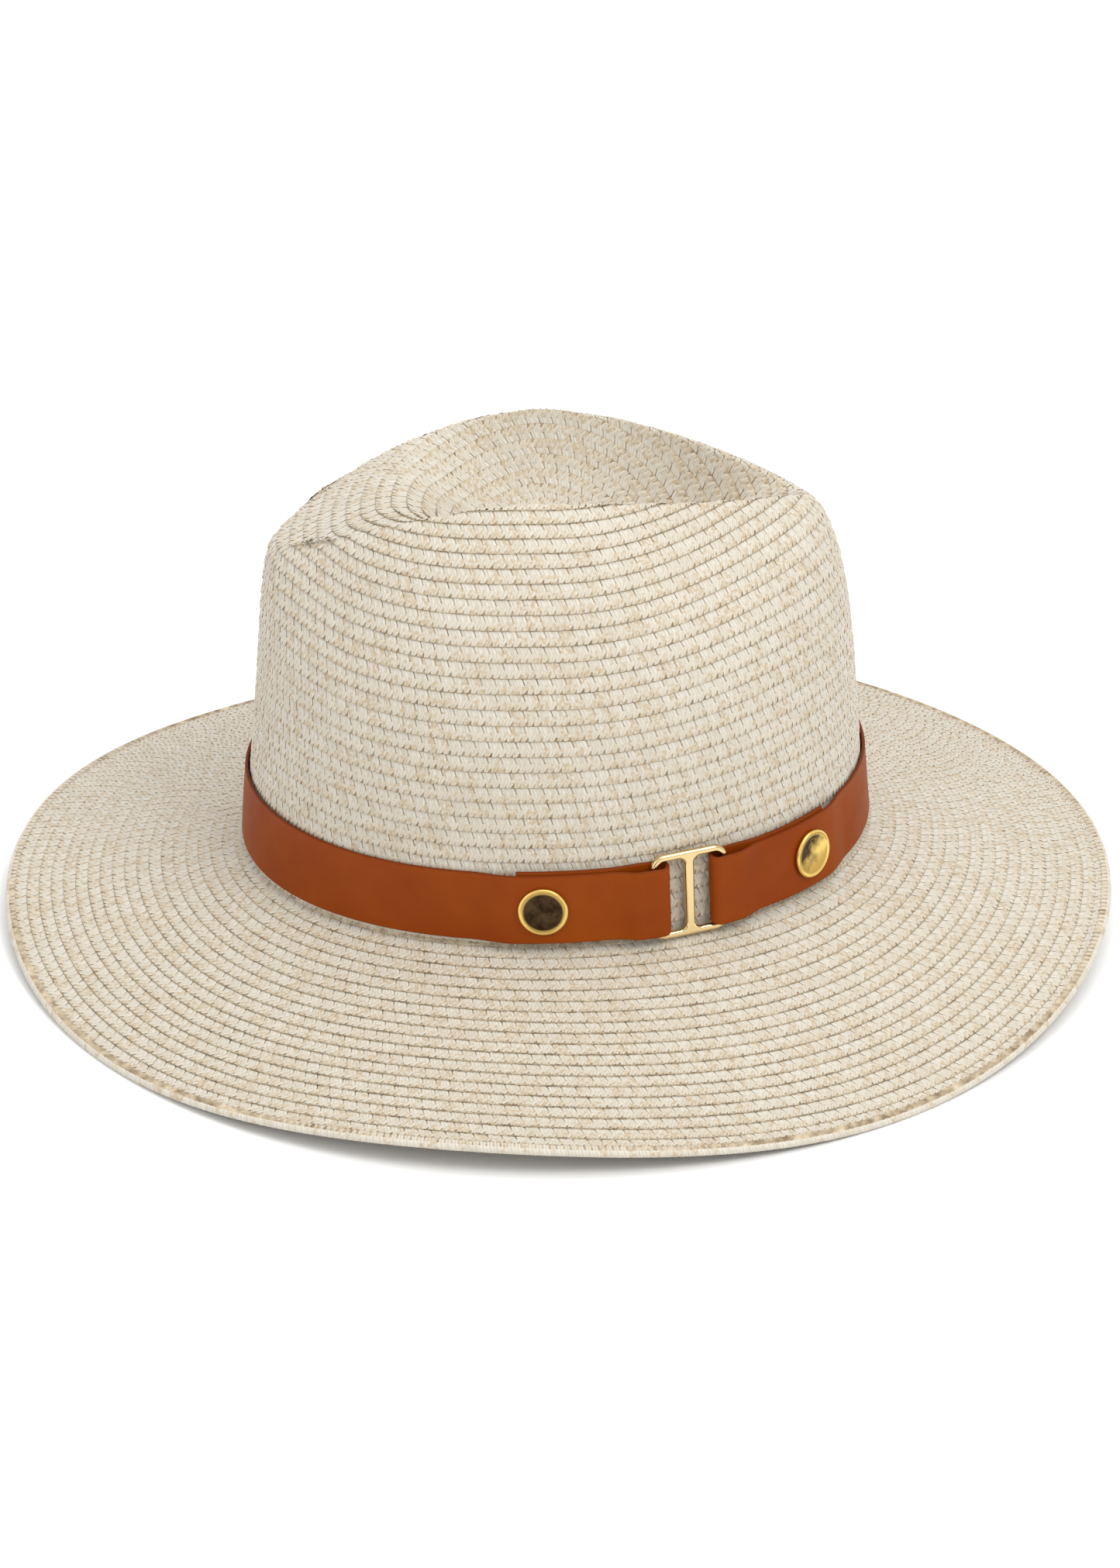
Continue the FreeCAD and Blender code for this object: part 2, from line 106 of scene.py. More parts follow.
@dataclass(frozen=True)
class HatForm:
    """The outside of the crown and the brim as formulas, in millimetres.

    The origin is the centre of the headline, +Z goes up the crown and -Y is the front. Angles
    start at the front and grow towards the wearer's left.
    """
    half_length: float = 100.0
    half_width: float = 87.4
    headline_dip: float = 2.2
    ridge_height: float = 126.7
    ridge_peak_y: float = -2.0
    ridge_front_y: float = -84.0
    ridge_back_y: float = 82.0
    ridge_half_gap: float = 33.8
    ridge_widest_y: float = -5.0
    ridge_front_fall: float = 26.5
    ridge_back_fall: float = 15.5
    ridge_front_length: float = 106.0
    ridge_falls: tuple = (1.7, 1.6)  # powers: how late the ridge falls, in front and behind
    ridge_bluntness: int = 8
    dent_depth: float = 30.0
    dent_centre_y: float = 15.0
    dent_half_length: float = 48.0
    dent_squareness: int = 4
    pinch_depth: float = 4.0
    pinch_y: float = -68.0
    pinch_height: float = 98.0
    pinch_reach: float = 17.0
    pinch_fade: float = 20.0       # mm from the middle over which the pinches set in
    wall_lean: float = 2.5
    front_straightness: float = 0.65
    back_straightness: float = 0.42
    side_straightness: float = 0.10
    bend_powers: tuple = (2.2, 6.0)  # of the wall's bend, at the sides and at the ends
    bend_reaches: tuple = (0.93, 1.0)
    brim_reach: float = 79.5
    brim_drop: float = 26.4
    brim_flare: float = 0.2
    edge_waves: tuple = ((5.2, 1.9), (1.6, 1.6), (0.2, -2.1), (2.5, -1.3))
    edge_row_width: float = 3.3
    edge_row_radius: float = 1.3
    braid_thickness: float = 1.8

    def oval(self, angle: Array, grow: Array = 0.0) -> Array:
        """The headline's oval, grown outwards by a distance."""
        x, y = np.sin(angle), -np.cos(angle)
        flat = np.zeros_like(x)
        p = np.stack([self.half_width * x, self.half_length * y, flat], -1)
        n = unit(np.stack([self.half_length * x, self.half_width * y, flat], -1))
        return p + n * np.asarray(grow)[..., None]

    def headline_height(self, angle: Array) -> Array:
        """How far the headline is above its middle height."""
        return -self.headline_dip * np.cos(2 * angle)

    def ridge_height_at(self, y: Array) -> Array:
        """Height of the crown's top edge above the headline."""
        front = np.clip((self.ridge_peak_y - y) / (self.ridge_peak_y - self.ridge_front_y), 0, 1)
        back = np.clip((y - self.ridge_peak_y) / (self.ridge_back_y - self.ridge_peak_y), 0, 1)
        return (self.ridge_height - self.ridge_front_fall * front ** self.ridge_falls[0]
                - self.ridge_back_fall * back ** self.ridge_falls[1])

    def ridge_gap_at(self, y: Array) -> Array:
        """Half the distance between the ridges."""
        share = (y - self.ridge_widest_y) / (self.ridge_back_y - self.ridge_widest_y)
        back = np.clip(1 - share ** 2, 0, 1)
        along = (self.ridge_widest_y - y) / self.ridge_front_length
        blunt = (self.ridge_widest_y - y) / (self.ridge_widest_y - self.ridge_front_y)
        squared = np.clip(1 - np.abs(blunt) ** self.ridge_bluntness, 0, 1)
        front = (1 - along ** 2) * np.sqrt(squared)
        return self.ridge_half_gap * np.where(y > self.ridge_widest_y, back, front)

    def ridge(self, angle: Array) -> Array:
        """The ridge's point on each angle's meridian."""
        middle = (self.ridge_front_y + self.ridge_back_y) / 2
        y = middle - (self.ridge_back_y - self.ridge_front_y) / 2 * np.cos(angle)
        side = np.where(np.sin(angle) >= 0, 1.0, -1.0)
        return np.stack([side * self.ridge_gap_at(y), y, self.ridge_height_at(y)], -1)

    def dent_height(self, x: Array, y: Array) -> Array:
        """Height of the crown's top between the ridges."""
        away = (y - self.dent_centre_y) / self.dent_half_length
        depth = self.dent_depth * np.exp(-away ** self.dent_squareness)
        gap = np.maximum(self.ridge_gap_at(y), 1e-6)
        return self.ridge_height_at(y) - depth * (1 - np.minimum(1, np.abs(x) / gap) ** 2)

    def wall(self, angle: Array, share: Array) -> Array:
        """The crown's wall: share 0 is the headline, 1 the ridge."""
        base, top = self.oval(angle), self.ridge(angle)
        ends = np.cos(angle) ** 2
        at_end = np.where(np.cos(angle) > 0, self.front_straightness, self.back_straightness)
        straight = mix(self.side_straightness, at_end, ends)
        power, reach = mix(*self.bend_powers, ends), mix(*self.bend_reaches, ends)
        bend = ((1 - np.sqrt(np.clip(1 - (reach * share) ** power, 0, 1)))
                / (1 - np.sqrt(np.clip(1 - reach ** power, 0, 1))))
        inward = straight * share + (1 - straight) * bend
        x, y = (mix(base[..., k], top[..., k], inward) for k in (0, 1))
        y = y + self.wall_lean * np.sin(math.pi * share) * share
        z = mix(self.headline_height(angle), top[..., 2], share)
        away = np.hypot(y - self.pinch_y, z - self.pinch_height) / self.pinch_reach
        set_in = smooth(np.abs(x) / self.pinch_fade)
        x = x - np.sign(x) * self.pinch_depth * np.exp(-away ** 2) * set_in
        return np.stack([x, y, z], -1)

    def crown(self, angles: Array, shares: Array, fine: int = 240) -> Array:
        """The crown's outside at even distances along each meridian.

        Args:
            angles: angles round the hat.
            shares: shares of the way from the spiral's centre to the headline.
            fine: steps on each side of the ridge, to measure lengths.
        Returns:
            Points, by angle and by share.
        """
        steps = np.linspace(0, 1, fine + 1)
        angle, step = np.meshgrid(angles, steps, indexing="ij")
        top = self.ridge(angle)
        x, y = top[..., 0] * step, top[..., 1] * step
        inside = np.stack([x, y, self.dent_height(x, y)], -1)
        path = np.concatenate([inside, self.wall(angle, 1 - step)[:, 1:]], 1)
        found = np.empty((len(angles), len(shares), 3))
        for i, line in enumerate(path):
            length = np.concatenate([[0], np.cumsum(np.linalg.norm(np.diff(line, axis=0), axis=1))])
            for k in range(3):
                found[i, :, k] = np.interp(shares * length[-1], length, line[:, k])
        return found

    def edge_height(self, angle: Array) -> Array:
        """Height of the brim's edge, which waves as it goes round."""
        waves = sum(c * np.cos(k * angle) + s * np.sin(k * angle)
                    for k, (c, s) in enumerate(self.edge_waves, 1))
        return waves - self.brim_drop

    def brim(self, angle: Array, out: Array) -> Array:
        """The brim's top, out level from the headline by a distance."""
        share = out / self.brim_reach
        fall = share + self.brim_flare * share * (1 - share)
        p = self.oval(angle, out)
        p[..., 2] = mix(self.headline_height(angle), self.edge_height(angle), fall)
        return p

    def wall_at(self, angle: Array, height: float) -> tuple[Array, Array]:
        """The crown's outside a height above the headline, and the way out there."""
        share = height / (self.ridge(angle)[..., 2] - self.headline_height(angle))
        step = 0.01
        run = self.wall(angle + step, share) - self.wall(angle - step, share)
        out = np.stack([run[..., 1], -run[..., 0], np.zeros_like(share)], -1)
        return self.wall(angle, share), unit(out)


@dataclass
class RowMap:
    """The hat's outside measured in turns round it and rows of braid down from its centre."""
    form: HatForm
    standing: Standing
    crown_rows: int = 39
    brim_rows: int = 19
    columns: int = 240
    overhang: float = 0.1          # of a turn, past each side of the first turn
    rows_fine: int = 4
    even_over: int = 6             # columns each way over which a turn's length is averaged
    least_share: float = 0.4       # of a row's mean length, for a turn anywhere along it
    turns: Array = field(init=False)
    rows: Array = field(init=False)
    grid: Array = field(init=False)

    def __post_init__(self) -> None:
        """Works out the grid of points, in the row's frame."""
        extra = round(self.overhang * self.columns)
        self.turns = np.arange(-extra, self.columns + extra + 1) / self.columns
        last = self.last_row + 1
        self.rows = np.arange(last * self.rows_fine + 1) / self.rows_fine
        angles = 2 * math.pi * self.turns
        on_crown = self.rows <= self.crown_rows
        crown = self.form.crown(angles, self.rows[on_crown] / self.crown_rows)
        per_row = (self.form.brim_reach - self.form.edge_row_width) / self.brim_rows
        outs = (self.rows[~on_crown] - self.crown_rows) * per_row
        angle, out = np.meshgrid(angles, outs, indexing="ij")
        brim = self.form.brim(angle, out)
        self.grid = self.standing.points(np.concatenate([crown, brim], 1))

    @property
    def last_row(self) -> int:
        """The row that ends at the brim's narrow edge row."""
        return self.crown_rows + self.brim_rows

    def at(self, turn: Array, row: Array) -> Array:
        """Points on the outside, for turns from 0 to 1 and rows from 0."""
        return self._look_up(self.grid, turn, row)

    def _look_up(self, values: Array, turn: Array, row: Array) -> Array:
        """Values between those of the grid's corners."""
        i = np.clip((turn - self.turns[0]) * self.columns, 0, len(self.turns) - 1.001)
        j = np.clip(row * self.rows_fine, 0, len(self.rows) - 1.001)
        i0, j0 = i.astype(int), j.astype(int)
        fi, fj = (i - i0)[..., None], (j - j0)[..., None]
        low = mix(values[i0, j0], values[i0 + 1, j0], fi)
        high = mix(values[i0, j0 + 1], values[i0 + 1, j0 + 1], fi)
        return mix(low, high, fj)

    def normals(self) -> Array:
        """The way out of the hat at each of the grid's points."""
        along = np.gradient(self.grid, axis=0)
        down = np.gradient(self.grid, axis=1)
        n = np.cross(down, along)
        n[:, 0] = n[:, 1]
        return unit(n)

    def lifted(self, turn: Array, row: Array, height: Array) -> Array:
        """Points a height in millimetres above the outside."""
        normal = unit(self._look_up(self.normals(), turn, row))
        return self.at(turn, row) + normal * np.asarray(height)[..., None] * MM

    def turn_lengths(self) -> Array:
        """Millimetres of braid to a turn at each of the grid's points."""
        step = np.linalg.norm(np.gradient(self.grid, axis=0), axis=-1)
        return step[..., None] * self.columns / MM

    def stitches(self, spacing: float, start: float) -> tuple[Array, Array]:
        """Even steps along the spiral, which goes out one row with each turn.

        Args:
            spacing: the step in millimetres.
            start: the row at which the spiral starts.
        Returns:
            The spiral's turn count at each step, and millimetres to a turn there.
        """
        first = round(self.overhang * self.columns)
        once = self.turn_lengths()[first:first + self.columns, :, 0]
        near = range(-self.even_over, self.even_over + 1)
        lengths = sum(np.roll(once, k, 0) for k in near) / len(near)
        lengths = np.maximum(lengths, self.least_share * once.mean(0))
        spiral, found, per_turn = start, [], []
        while spiral < self.last_row + 1:
            row = min(spiral, self.last_row)
            per = lengths[int((spiral % 1.0) * self.columns), int(row * self.rows_fine)]
            found.append(spiral)
            per_turn.append(per)
            spiral += spacing / per
        return np.array(found), np.array(per_turn)


# --- Helpers for meshes and node trees ---

def mesh_of(name: str, points: Array, faces: list, uv: Array = None,
            material: Material = None) -> Object:
    """A smooth mesh object at the origin, linked to the scene.

    Args:
        name: the object's name.
        points: its vertices in metres.
        faces: its faces as lists of vertex numbers.
        uv: texture coordinates by vertex.
        material: its finish.
    Returns:
        The object.
    """
    mesh = bpy.data.meshes.new(name)
    mesh.from_pydata([tuple(p) for p in np.reshape(points, (-1, 3))], [], faces)
    if uv is not None:
        layer = mesh.uv_layers.new(name="UVMap")
        corners = np.empty(len(mesh.loops), dtype=np.int32)
        mesh.loops.foreach_get("vertex_index", corners)
        layer.data.foreach_set("uv", np.reshape(uv, (-1, 2))[corners].ravel())
    mesh.polygons.foreach_set("use_smooth", np.ones(len(mesh.polygons), dtype=bool))
    mesh.update()
    if material:
        mesh.materials.append(material)
    made = bpy.data.objects.new(name, mesh)
    bpy.context.collection.objects.link(made)
    return made


def grid_faces(rows: int, columns: int, wrap_rows: bool = False, wrap_columns: bool = False,
               flip: bool = False) -> list:
    """Quads of a grid of points numbered row by row.

    Args:
        rows: how many rows of points.
        columns: how many points to a row.
        wrap_rows: whether the last row joins the first.
        wrap_columns: whether each row is a ring.
        flip: whether the quads face the other way.
    Returns:
        The quads, turned so that rows x columns gives the way out, unless flipped.
    """
    faces = []
    for i in range(rows if wrap_rows else rows - 1):
        for j in range(columns if wrap_columns else columns - 1):
            low, high = i * columns, (i + 1) % rows * columns
            j1 = (j + 1) % columns
            faces.append((low + j, high + j, high + j1, low + j1)[::-1 if flip else 1])
    return faces


def evaluated(made: Object, modifier: Modifier) -> None:
    """Turns a node modifier's result into the object's own plain mesh."""
    graph = bpy.context.evaluated_depsgraph_get()
    mesh = bpy.data.meshes.new_from_object(made.evaluated_get(graph),
                                           preserve_all_data_layers=True, depsgraph=graph)
    made.modifiers.remove(modifier)
    made.data = mesh


def dress(node: Object, material: Material) -> None:
    """Gives a part of the frame a finish."""
    node.data.materials.clear()
    node.data.materials.append(material)


def operator(operation: str, turned: bool = False) -> Callable:
    """An operator of Number's, as a Math node.

    Args:
        operation: the node's operation.
        turned: whether the other value comes first.
    Returns:
        The operator.
    """
    def result(number: "Number", *other: object) -> "Number":
        """The node's result."""
        values = (number, *other)
        return number.wiring.math(operation, *(values[::-1] if turned else values))
    return result


@dataclass(frozen=True)
class Number:
    """A number that a node gives. Sums written with it become Math nodes."""
    wiring: "Wiring"
    socket: NodeSocket

    __add__, __radd__ = operator("ADD"), operator("ADD", turned=True)
    __sub__, __rsub__ = operator("SUBTRACT"), operator("SUBTRACT", turned=True)
    __mul__, __truediv__ = operator("MULTIPLY"), operator("DIVIDE")
    __lt__, __gt__ = operator("LESS_THAN"), operator("GREATER_THAN")
    __abs__ = operator("ABSOLUTE")

    def held(self) -> "Number":
        """This, held between 0 and 1."""
        self.socket.node.use_clamp = True
        return self


class Wiring:
    """Adds nodes to a tree and joins them as they are used."""

    def __init__(self, tree: NodeTree) -> None:
        """Takes the tree that the nodes go in."""
        self.tree = tree

    def node(self, kind: str, feeds: dict = None, **settings: object) -> Node:
        """A new node.

        Args:
            kind: its type's name.
            feeds: values or sockets for its inputs, by name or number.
            settings: its own properties.
        Returns:
            The node.
        """
        made = self.tree.nodes.new(kind)
        for name, value in settings.items():
            setattr(made, name, value)
        for key, value in (feeds or {}).items():
            self.feed(made.inputs[key], value)
        return made

    def feed(self, socket: NodeSocket, value: object) -> None:
        """Links a socket or a number to an input, or sets the input's value."""
        value = value.socket if isinstance(value, Number) else value
        if isinstance(value, NodeSocket):
            self.tree.links.new(value, socket)
        else:
            socket.default_value = value

    def number(self, kind: str, feeds: dict = None, **settings: object) -> Number:
        """The first output of a new node, as a number."""
        return Number(self, self.node(kind, feeds, **settings).outputs[0])

    def math(self, operation: str, *values: object) -> Number:
        """The result of a Math node."""
        return self.number("ShaderNodeMath", dict(enumerate(values)), operation=operation)

    def vector(self, operation: str, feeds: dict) -> NodeSocket:
        """The vector result of a Vector Math node."""
        return self.node("ShaderNodeVectorMath", feeds, operation=operation).outputs[0]

    def moved(self, geometry: NodeSocket, place: NodeSocket) -> NodeSocket:
        """Geometry with its points put at a place."""
        feeds = {"Geometry": geometry, "Position": place}
        return self.node("GeometryNodeSetPosition", feeds).outputs[0]

    def stored(self, geometry: NodeSocket, name: str, value: object, kind: str,
               domain: str) -> NodeSocket:
        """Geometry with a named attribute on it."""
        feeds = {"Geometry": geometry, "Name": name, "Value": value}
        return self.node("GeometryNodeStoreNamedAttribute", feeds, data_type=kind,
                         domain=domain).outputs[0]

    def combine(self, x: object, y: object, z: object) -> NodeSocket:
        """A vector of three numbers."""
        return self.node("ShaderNodeCombineXYZ", {0: x, 1: y, 2: z}).outputs[0]

    def split(self, vector: object) -> list:
        """The three numbers of a vector."""
        outputs = self.node("ShaderNodeSeparateXYZ", {0: vector}).outputs
        return [Number(self, socket) for socket in outputs]

    def lerp(self, a: object, b: object, share: Number) -> Number:
        """a where share is 0, b where it is 1."""
        return self.math("ADD", a, self.math("SUBTRACT", b, a) * share)

    def random(self, low: float, high: float, seed: object) -> Number:
        """A number between two for each element."""
        node = self.node("FunctionNodeRandomValue", {2: low, 3: high, "Seed": seed},
                         data_type="FLOAT")
        return Number(self, node.outputs[1])

    def attribute(self, name: str, output: str) -> NodeSocket:
        """A mesh attribute, for a shader."""
        return self.node("ShaderNodeAttribute", attribute_name=name).outputs[output]

    def named(self, name: str, kind: str = "FLOAT") -> NodeSocket:
        """A mesh attribute, for a geometry tree."""
        return self.node("GeometryNodeInputNamedAttribute", {"Name": name},
                         data_type=kind).outputs[0]

    def place(self) -> NodeSocket:
        """The object's own coordinates, in metres."""
        return self.node("ShaderNodeTexCoord").outputs["Object"]

    def uv(self) -> NodeSocket:
        """The mesh's own UV map."""
        return self.node("ShaderNodeUVMap", uv_map="UVMap").outputs[0]

    def noise(self, at: object, scale: float, detail: float, **more: float) -> Number:
        """A noise texture's value."""
        feeds = {"Vector": at, "Scale": scale, "Detail": detail, **more}
        return self.number("ShaderNodeTexNoise", feeds)

    def blend(self, a: object, b: object, share: object) -> NodeSocket:
        """Colour a where share is 0, b where it is 1."""
        node = self.node("ShaderNodeMix", {"Factor": share}, data_type="RGBA")
        for socket, colour in zip(node.inputs[6:8], (a, b)):
            self.feed(socket, (*colour, 1) if isinstance(colour, tuple) else colour)
        return node.outputs[2]

    def ramp(self, factor: object, *stops: tuple) -> NodeSocket:
        """Colours between two stops, each a place and a colour."""
        node = self.node("ShaderNodeValToRGB", {0: factor})
        for mark, (place, colour) in zip(node.color_ramp.elements, stops):
            mark.position, mark.color = place, (*colour, 1)
        return node.outputs[0]


# --- Finishes ---

@dataclass(frozen=True)
class Finish:
    """What every finish sets on its shader, uniform over the surface."""
    name: str
    colour: tuple
    roughness: float
    metallic: float = 0.0
    coat: float = 0.0
    coat_roughness: float = 0.1
    sheen: float = 0.0
    specular: float = 0.5

    def start(self) -> tuple[Material, Wiring, Node]:
        """A material with its uniform values set."""
        material = bpy.data.materials.new(self.name)
        material.use_nodes = True
        shader = material.node_tree.nodes["Principled BSDF"]
        uniform = {"Base Color": (*self.colour, 1), "Roughness": self.roughness,
                   "Metallic": self.metallic, "Coat Weight": self.coat,
                   "Coat Roughness": self.coat_roughness, "Sheen Weight": self.sheen,
                   "Specular IOR Level": self.specular}
        for name, value in uniform.items():
            shader.inputs[name].default_value = value
        return material, Wiring(material.node_tree), shader

    @staticmethod
    def bump(w: Wiring, shader: Node, height: object, depth: float,
             strength: float = 1.0) -> None:
        """Relief of a depth in metres on the shader's normal."""
        feeds = {"Height": height, "Distance": depth, "Strength": strength}
        w.feed(shader.inputs["Normal"], w.node("ShaderNodeBump", feeds).outputs[0])


@dataclass(frozen=True)
class PlaitFinish(Finish):
    """Flat paper straw, with fine fibres along each strand, tan flecks here and there, and painted
    shade in each strand's fold and along its sides.
    """
    deep: tuple = (0.52, 0.47, 0.385)
    # painted shade colour, for the fold and the strand's sides
    line: tuple = (0.45, 0.37, 0.25)
    tan: tuple = (0.44, 0.32, 0.18)
    flecked: float = 0.25          # share of the strands that have flecks
    fleck_strength: float = 0.7
    fleck_scale: float = 900.0
    cloud_scale: float = 22.0
    fibres: tuple = (9.0, 1.6)     # across a strand and along it
    fibre_shift: float = 53.0      # so that no two strands have the same fibres
    crease_shade_strength: float = 0.55    # of the painted shade in the fold along a strand's middle and at its sides
    line_half: float = 0.06        # half its width, as a share of the strand's
    side_shade: float = 0.04
    groove: float = -0.8
    relief: float = 0.00014

    def build(self) -> Material:
        """The material, which reads each strand's own coordinates and shade."""
        material, w, shader = self.start()
        across, along, _ = w.split(w.attribute("strand", "Vector"))
        shade, knot = (Number(w, w.attribute(name, "Fac")) for name in ("shade", "knot"))
        place = w.place()
        fibre_at = w.combine(across * self.fibres[0], along * self.fibres[1],
                             shade * self.fibre_shift)
        fibre = w.noise(fibre_at, 1.0, 2.0)
        fleck = w.noise(place, self.fleck_scale, 1.0)
        cloud = w.noise(place, self.cloud_scale, 2.0)
        tone = (shade * 0.55 + fibre * 0.6 + cloud * 0.35 - 0.3).held()
        straw = w.ramp(tone, (0.1, self.colour), (0.9, self.deep))
        spots = ((fleck - 0.45) * 6.0).held() * (knot < self.flecked)
        spotted = w.blend(straw, self.tan, spots * self.fleck_strength)
        # painted shade: darker in the fold along the strand's middle and at its sides
        crease = abs(across - 0.5)
        crease_shade = w.math("MAXIMUM", crease < self.line_half, crease > 0.5 - self.side_shade)
        crease_shaded = w.blend(spotted, self.line, crease_shade * self.crease_shade_strength)
        w.feed(shader.inputs["Base Color"], crease_shaded)
        folded = (crease < self.line_half + 0.01) * self.groove
        self.bump(w, shader, fibre + folded, self.relief, 0.9)
        return material


@dataclass(frozen=True)
class CoreFinish(Finish):
    """The inside of the plait, seen in the gaps between its strands, coloured with painted shade: a
    tan darker than the straw, mottled with dark brown.
    """
    # painted shade: the dark brown of the mottle
    dark: tuple = (0.20, 0.14, 0.075)
    scale: float = 300.0
    relief: float = 0.0002

    def build(self) -> Material:
        """The material, its painted shade mottled on object coordinates."""
        material, w, shader = self.start()
        mottle = w.noise(w.place(), self.scale, 2.0)
        colour = w.ramp(mottle, (0.3, self.dark), (0.75, self.colour))
        w.feed(shader.inputs["Base Color"], colour)
        self.bump(w, shader, mottle, self.relief)
        return material


@dataclass(frozen=True)
class StrapFinish(Finish):
    """Smooth coated leather-look sheet with a fine pebble and darker edges."""
    edge: tuple = (0.14, 0.024, 0.002)
    warm: tuple = (0.25, 0.048, 0.0015)
    edge_from: float = 0.475       # share of the width, from the middle
    edge_sharpness: float = 40.0
    cloud_scale: float = 38.0
    pebble_scale: float = 1500.0
    pebble_share: float = 0.12
    swell_scale: float = 120.0
    patchiness: float = 0.16       # of the gloss
    relief: float = 0.00018

    def build(self) -> Material:
        """The material, which reads the strap's own UV map: x along it and y across it."""
        material, w, shader = self.start()
        _, across, _ = w.split(w.uv())
        place = w.place()
        cloud = w.noise(place, self.cloud_scale, 3.0)
        body = w.ramp(cloud, (0.35, self.colour), (0.7, self.warm))
        # darker towards both edges of the strap
        towards_edge = ((abs(across - 0.5) - self.edge_from) * self.edge_sharpness).held()
        w.feed(shader.inputs["Base Color"], w.blend(body, self.edge, towards_edge))
        feeds = {"Vector": place, "Scale": self.pebble_scale}
        pebble = w.number("ShaderNodeTexVoronoi", feeds)
        swell = w.noise(place, self.swell_scale, 2.0)
        self.bump(w, shader, pebble * self.pebble_share + swell, self.relief, 0.35)
        patchy = swell * self.patchiness + (self.roughness - self.patchiness / 2)
        w.feed(shader.inputs["Roughness"], patchy)
        return material


@dataclass(frozen=True)
class MetalFinish(Finish):
    """Polished plated metal with faint rub marks."""
    rub: float = 0.10
    scale: float = 260.0
    relief: float = 0.00005

    def build(self) -> Material:
        """The material, with its rub marks on object coordinates."""
        material, w, shader = self.start()
        haze = w.noise(w.place(), self.scale, 3.0)
        w.feed(shader.inputs["Roughness"], self.roughness + haze * self.rub)
        self.bump(w, shader, haze, self.relief, 0.15)
        return material


@dataclass(frozen=True)
class CapFinish(Finish):
    """A rivet cap: a bright rolled rim round a polished face with a painted dark reflection on it.
    """
    # painted reflection of dark surroundings: its near-black and brown colours
    reflected_dark: tuple = (0.022, 0.013, 0.006)
    reflected_brown: tuple = (0.075, 0.046, 0.023)
    reflected_share: float = 0.5           # how much of the face the painted dark reflection covers
    lean: float = 0.0              # how much more of the painted reflection at the top than at the bottom
    hardness: float = 3.0          # how sharp the painted reflection's outline is
    cloud_scale: float = 1.6
    face_share: float = 0.9        # of the cap's radius, where the painted reflection ends
    face_sharpness: float = 7.0
    dulled: float = 0.15           # how much rougher the painted reflection is

    def build(self) -> Material:
        """The material, which reads the cap's own UV map: its face fills the unit circle."""
        material, w, shader = self.start()
        place = w.uv()
        x, y, _ = w.split(place)
        away = w.math("SQRT", x * x + y * y)
        cloud = w.noise(place, self.cloud_scale, 4.0, Roughness=0.6)
        slope = (y - x * 0.9) * self.lean
        # painted dark reflection: cloudy, and leaning towards the top by lean
        dark = ((cloud + (self.reflected_share - 1.0) + slope) * self.hardness).held()
        inner = ((self.face_share - away) * self.face_sharpness).held()
        reflected_colour = w.ramp(cloud, (0.38, self.reflected_dark), (0.62, self.reflected_brown))
        w.feed(shader.inputs["Base Color"], w.blend(self.colour, reflected_colour, dark * inner))
        w.feed(shader.inputs["Roughness"], self.roughness + dark * self.dulled)
        return material


@dataclass(frozen=True)
class RibbonFinish(Finish):
    """Woven cotton ribbon with ribs across it."""
    ribs: float = 640.0            # round the hat
    threads: float = 60.0          # across the ribbon
    thread_share: float = 0.3
    shaded: float = 0.7            # of its colour, between the ribs
    relief: float = 0.0002

    def build(self) -> Material:
        """The material, with its ribs on the ribbon's own UV map."""
        material, w, shader = self.start()
        along, across, _ = w.split(w.uv())
        rib, thread = (w.math("SINE", at * (count * 2 * math.pi))
                       for at, count in ((along, self.ribs), (across, self.threads)))
        relief = rib + thread * self.thread_share
        shaded = tuple(self.shaded * c for c in self.colour)
        shade = w.ramp(w.math("MULTIPLY_ADD", relief, 0.35, 0.5), (0.0, shaded),
                       (1.0, self.colour))
        w.feed(shader.inputs["Base Color"], shade)
        self.bump(w, shader, relief, self.relief, 0.8)
        return material


@dataclass(frozen=True)
class FloorFinish(Finish):
    """Plain matt card."""

    def build(self) -> Material:
        """The material."""
        return self.start()[0]


# --- Braid ---

class Face(Enum):
    """The side of the strip that strands lie on."""
    OUTSIDE = "outside"
    INSIDE = "inside"


@dataclass(frozen=True)
class Strand:
    """One kind of strand of the plait. Lengths across the row are shares of a row."""
    width: float                   # mm
    start: float                   # from the row's lower edge, negative towards its top
    end: float
    slant: float                   # mm along the row from start to end
    thickness: float               # mm
    arch: float                    # mm that its middle stands proud of its ends
    lift: float                    # mm above the row's core
    round_end: float               # how much its end narrows
    across: int = 4
    along: int = 5


UPPER = Strand(width=2.1, start=-1.14, end=-0.22, slant=1.5, thickness=0.2, arch=0.06,
               lift=0.06, round_end=0.0)
LOOP = Strand(width=2.04, start=-0.56, end=0.005, slant=-1.15, thickness=0.2, arch=0.08,
              lift=0.15, round_end=0.72, along=7)
INNER = Strand(width=2.06, start=-1.12, end=-0.06, slant=-1.9, thickness=0.24, arch=0.05,
               lift=0.05, round_end=0.3, across=3)
WRAP = Strand(width=2.17, start=-1.0, end=0.0, slant=1.2, thickness=0.12, arch=0.0,
              lift=0.02, round_end=0.0, across=3, along=13)


